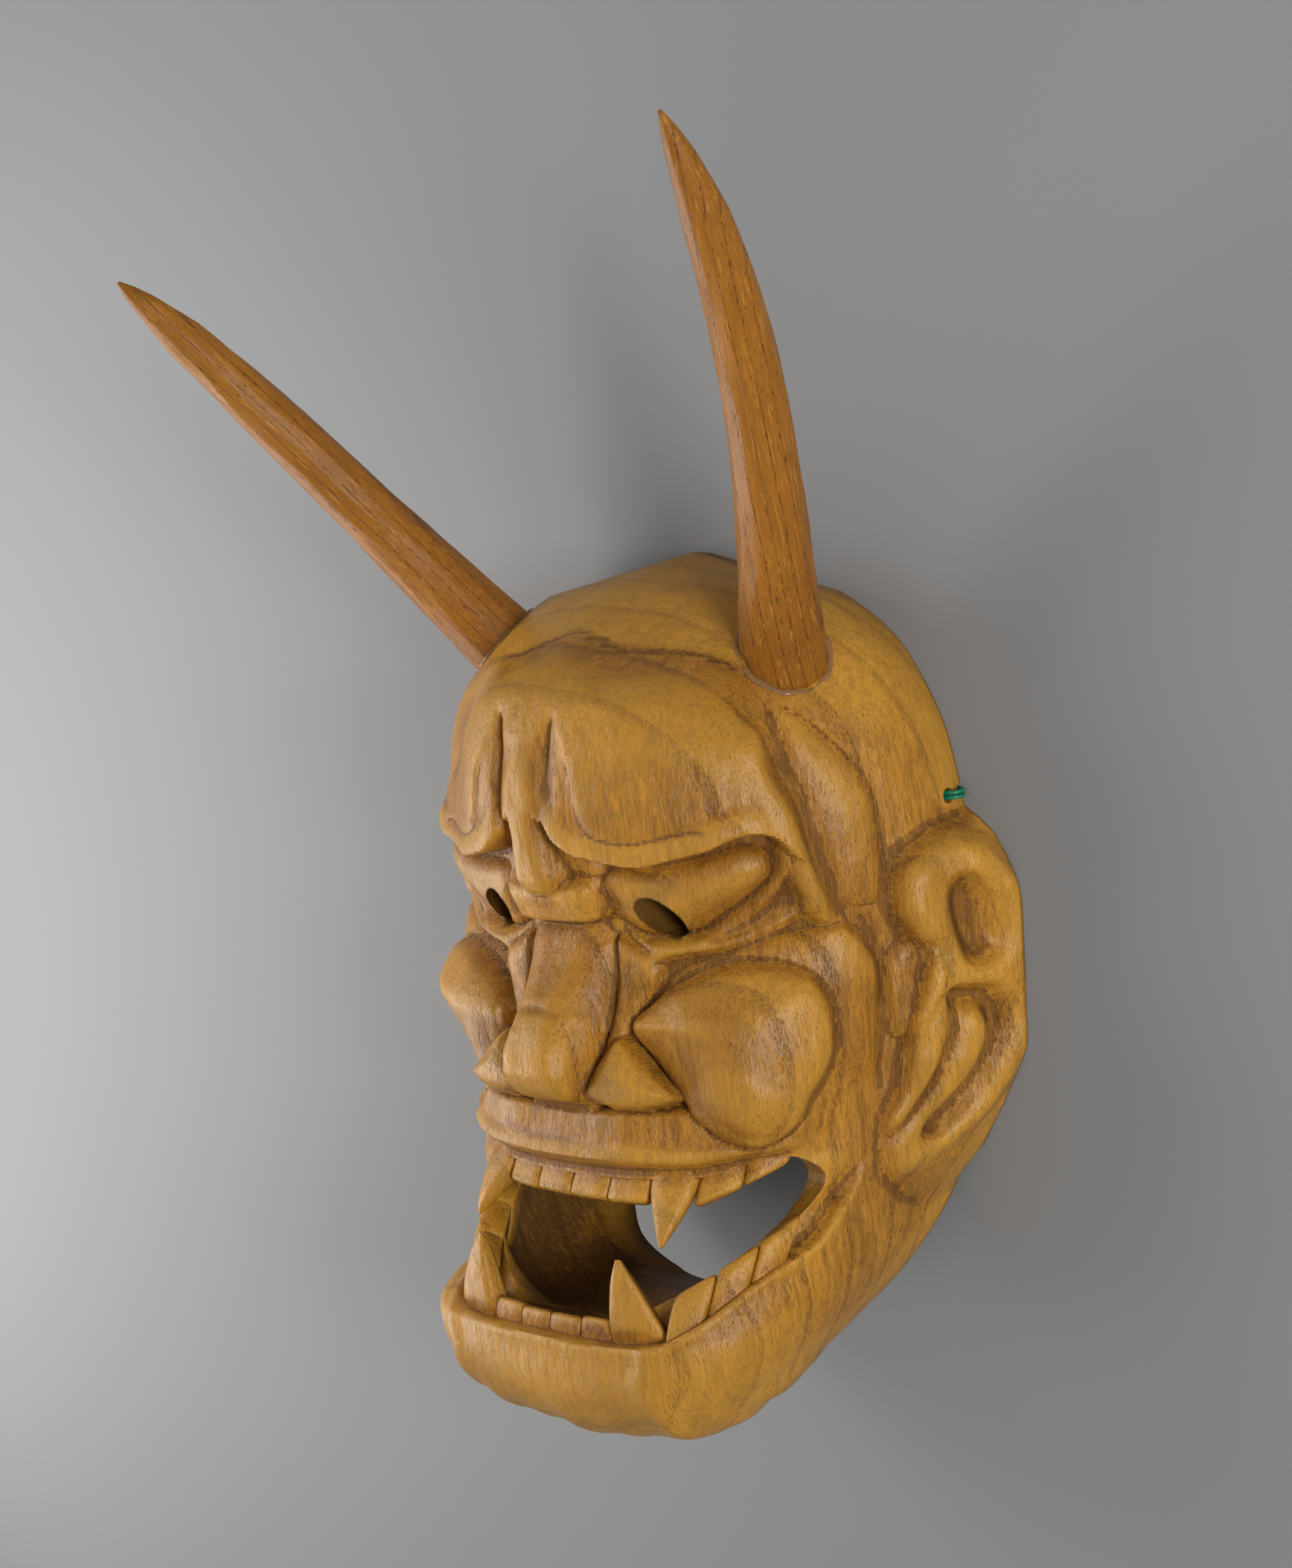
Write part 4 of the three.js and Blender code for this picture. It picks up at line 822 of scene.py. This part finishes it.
# Dirt and torn fibres, with painted shade: the narrow and the wide creases are painted dark brown.
crease_dirt_and_shade = math_node(tree, "MAXIMUM", ramp(tree, narrow, 1.12, 1.4),
                 math_node(tree, "MULTIPLY", ramp(tree, deep, 1.36, 1.7), 0.45))
base = mix(tree, math_node(tree, "MULTIPLY", crease_dirt_and_shade, 0.6), base, (0.12, 0.042, 0.007))
# Painted highlight, partly real wear: the ridges, broken by streaks, are painted a paler gold.
ridge_wear_and_highlight = ramp(tree, math_node(tree, "MULTIPLY_ADD", streaks, 0.5, wide_crease), 0.60, 0.30)
base = mix(tree, math_node(tree, "MULTIPLY", ridge_wear_and_highlight, 0.3), base, (0.74, 0.39, 0.05))
# Painted shade: the eye holes' walls and the underside are painted near-black.
hole_and_underside_shade = node(tree, "Attribute", attribute_name="hole_and_underside_shade").outputs["Fac"]
base = mix(tree, math_node(tree, "MULTIPLY", hole_and_underside_shade, 0.8), base, (0.045, 0.020, 0.006))
tree.links.new(base, shader.inputs["Base Color"])
rough = math_node(tree, "MULTIPLY_ADD", crease_dirt_and_shade, 0.25, 0.38)
tree.links.new(rough, shader.inputs["Roughness"])
torn = math_node(tree, "MULTIPLY", crease_dirt_and_shade, noise(tree, place, 1, (1900, 300, 1900), 3.0, 0.65))
knife = noise(tree, place, 1, (150, 75, 150), 4.0, 0.58)
relief = math_node(tree, "MULTIPLY_ADD", torn, 2.2, math_node(tree, "MULTIPLY", wood["Fibre"], 0.7))
relief = math_node(tree, "MULTIPLY_ADD", knife, 3.6, relief)
relief = math_node(tree, "MULTIPLY_ADD", wood["Pores"], -0.6, relief)
relief = math_node(tree, "MULTIPLY_ADD", wood["Band"], -0.25, relief)
bump_node = node(tree, "Bump", {"Height": relief, "Distance": 0.0004, "Strength": 0.8})
tree.links.new(bump_node.outputs[0], shader.inputs["Normal"])
shader.inputs["Specular IOR Level"].default_value = 0.32
carved.materials.clear()
carved.materials.append(face_wood)
carved.polygons.foreach_set("material_index", np.zeros(len(carved.polygons), int))

# Horns. Two tapering curved pieces of a redder straight-grained wood, whittled in long facets
# and glued into sockets in the skull.

HORN_LINES = {
    "right": ((101, 350.8, 110.6), (94.4, 302.3, 76.1), (72.1, 263, 54.1), (53.6, 215.1, 34.3)),
    "left": ((-102.2, 336.8, 108.2), (-91.8, 304.7, 78.5), (-73.1, 260.4, 54.1), (-46.8, 217.3, 31.9)),
}
HORN_DIAMETER = ((0, 1), (0.03, 4.2), (0.07, 7.2), (0.17, 12), (0.31, 14.2), (0.46, 16.2), (0.61, 17.4),
                 (0.78, 19.4), (0.95, 22.8), (1, 23.6))
HORN_TENON = 6
HORN_SIDES = 10


def horn_rings(side, share, turn, scale=1.0):
    """Points of the horn's skin: a cubic curve with a ten-sided section, its edges knocked off."""
    ends = np.array(HORN_LINES[side])
    t = np.minimum(share, 1)[:, None]
    r = 1 - t
    middle = r**3 * ends[0] + 3 * r**2 * t * ends[1] + 3 * r * t * t * ends[2] + t**3 * ends[3]
    along = r**2 * (ends[1] - ends[0]) + 2 * r * t * (ends[2] - ends[1]) + t * t * (ends[3] - ends[2])
    along /= np.linalg.norm(along, axis=1, keepdims=True)
    middle = middle + along * (np.maximum(share - 1, 0) * HORN_TENON)[:, None]
    across = np.cross(along, (0, 0, 1))
    across /= np.linalg.norm(across, axis=1, keepdims=True)
    other = np.cross(along, across)
    radius = table(HORN_DIAMETER, np.minimum(share, 1)) / 2 * scale
    wander = 0.22 * np.sin(9 * share + len(side)) + 0.1 * np.sin(23 * share)
    facet = 2 * np.pi / HORN_SIDES
    local = (turn[None] - 0.2 - wander[:, None]) % facet - facet / 2
    flat = np.cos(facet / 2) / np.cos(local)
    section = radius[:, None] * (0.25 + 0.75 * flat)
    return middle[:, None] + section[..., None] * (np.cos(turn)[None, :, None] * across[:, None]
                                                   + np.sin(turn)[None, :, None] * other[:, None])


horn_share = np.concatenate([spread((0, 0.06, 0.006), (0.06, 1, 0.009)), [2.0]])
horn_turn = ring_about(80)
horns = []
for side in ("left", "right"):
    horn = stack("horn_" + side + "_whittled", horn_rings(side, horn_share, horn_turn))
    horn.data.shade_smooth()
    ends = np.array(HORN_LINES[side])
    length_way = (ends[0] - ends[3]) / np.linalg.norm(ends[0] - ends[3])
    cross_way = np.cross(length_way, (0, 0, 1))
    cross_way /= np.linalg.norm(cross_way)
    frame_of_horn = np.stack([cross_way, length_way, np.cross(cross_way, length_way)])
    skin = np.empty(len(horn.data.vertices) * 3)
    horn.data.vertices.foreach_get("co", skin)
    skin = skin.reshape(-1, 3) - (ends[3] - (0, SHIFT_Y, 0)) * MM
    places = horn.data.attributes.new("grain", "FLOAT_VECTOR", "POINT")
    places.data.foreach_set("vector", (skin @ frame_of_horn.T).ravel())
    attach(horn, "root")
    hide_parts("horn_" + side)
    horns.append(horn)

horn_wood, tree, shader = new_material("horn_wood")
place = node(tree, "Attribute", attribute_name="grain").outputs["Vector"]
wood = use_grain(tree, place, (0.03, 0, -0.02), 0.0034, 0.006)
base = mix(tree, ramp(tree, wood["Cloud"], 0.3, 0.7), (0.29, 0.106, 0.010), (0.44, 0.172, 0.017))
base = mix(tree, math_node(tree, "MULTIPLY", wood["Band"], 0.4), base, (0.17, 0.048, 0.006))
base = mix(tree, ramp(tree, wood["Fibre"], 0.4, 0.6), mix(tree, 0.3, base, (0.10, 0.035, 0.008)), base)
flecks = ramp(tree, noise(tree, place, 1, (1700, 90, 1700), 1.5), 0.6, 0.72)
base = mix(tree, math_node(tree, "MULTIPLY", flecks, 0.4), base, (0.66, 0.33, 0.06))
base = mix(tree, math_node(tree, "MULTIPLY", wood["Pores"], 0.6), base, (0.07, 0.022, 0.006))
tree.links.new(base, shader.inputs["Base Color"])
relief = math_node(tree, "MULTIPLY_ADD", wood["Pores"], -0.6, math_node(tree, "MULTIPLY", wood["Fibre"], 0.5))
bump_node = node(tree, "Bump", {"Height": relief, "Distance": 0.0003, "Strength": 0.7})
tree.links.new(bump_node.outputs[0], shader.inputs["Normal"])
shader.inputs["Roughness"].default_value = 0.42
shader.inputs["Specular IOR Level"].default_value = 0.24
for horn in horns:
    horn.data.materials.append(horn_wood)

# Glue. A bead of clear glue squeezed out round the foot of each horn, set hard and shiny.

GLUE_STEPS = 72
GLUE_SIDES = 12

skull = BVHTree.FromObject(mask, bpy.context.evaluated_depsgraph_get())
glue_beads = []
for side in ("left", "right"):
    turn = ring_about(GLUE_STEPS)
    skin = horn_rings(side, np.array([0.8, 1.0]), turn, 1.03)
    start, end = (skin - (0, SHIFT_Y, 0)) * MM
    ring = []
    for a, b in zip(start, end):
        hit, normal, _, _ = skull.ray_cast(Vector(a), Vector(b - a).normalized())
        ring.append((hit, normal))
    foot = np.array([hit for hit, _ in ring]) / MM
    up = np.array([normal for _, normal in ring])
    foot, up = ((np.roll(p, 1, 0) + p + np.roll(p, -1, 0)) / 3 for p in (foot, up))
    centre = foot.mean(0)
    out = foot - centre
    out /= np.linalg.norm(out, axis=1, keepdims=True)
    thick = 0.62 + 0.25 * np.sin(3 * turn + 1) + 0.2 * np.sin(7 * turn) + 0.1 * np.sin(13 * turn)
    around = ring_about(GLUE_SIDES)
    section = thick[:, None, None] * (1.25 * np.cos(around)[None, :, None] * out[:, None]
                                      + 0.75 * np.sin(around)[None, :, None] * up[:, None])
    bead = foot[:, None] + out[:, None] * 0.4 + section
    here = np.arange(GLUE_STEPS * GLUE_SIDES).reshape(GLUE_STEPS, GLUE_SIDES)
    below, right = np.roll(here, -1, 0), np.roll(here, -1, 1)
    quads = np.stack([here, right, np.roll(below, -1, 1), below], -1).reshape(-1, 4)
    glue = add_mesh("glue_" + side, bead.reshape(-1, 3) * MM, quads.tolist())
    glue.data.shade_smooth()
    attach(glue, "root")
    glue_beads.append(glue)

glue_clear, tree, shader = new_material("clear_glue")
shader.inputs["Base Color"].default_value = (0.72, 0.50, 0.24, 1)
shader.inputs["Roughness"].default_value = 0.18
shader.inputs["Transmission Weight"].default_value = 0.8
shader.inputs["IOR"].default_value = 1.45
for glue in glue_beads:
    glue.data.materials.append(glue_clear)

# Floor and light. A plain pale floor under four soft lamps: the strongest stands to the right and
# lights the ear side, and three weaker ones to the left light the face. The world fills the shadows.

bpy.ops.mesh.primitive_plane_add(size=8)
floor = bpy.context.object
floor.name = "floor"
floor_pale, tree, shader = new_material("floor_pale")
shader.inputs["Base Color"].default_value = (0.27, 0.27, 0.27, 1)
shader.inputs["Roughness"].default_value = 0.7
shader.inputs["Specular IOR Level"].default_value = 0.2
floor.data.materials.append(floor_pale)
floor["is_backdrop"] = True

world = bpy.data.worlds.new("studio")
bpy.context.scene.world = world
world.use_nodes = True
world.node_tree.nodes["Background"].inputs["Color"].default_value = (1, 1, 1, 1)
world.node_tree.nodes["Background"].inputs["Strength"].default_value = 0.33

LAMPS = {
    "right": ((0.9, 0.04, 0.52), 6.4, 0.3),
    "left_low": ((-0.62, -0.2, 0.26), 1.7, 0.3),
    "left_front": ((-0.9, -0.6, 0.7), 1.0, 0.5),
    "left_top": ((-0.45, 0.1, 0.35), 1.7, 0.3),
}
for name, (place, power, size) in LAMPS.items():
    data = bpy.data.lights.new(name, "AREA")
    data.energy = power
    data.size = size
    lamp = bpy.data.objects.new(name, data)
    lamp.location = place
    lamp.rotation_euler = (Vector((0, 0, 0.04)) - Vector(place)).to_track_quat("-Z", "Y").to_euler()
    lamp.visible_camera = False
    bpy.context.collection.objects.link(lamp)
bpy.context.scene.view_settings.view_transform = "Standard"

low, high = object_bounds()
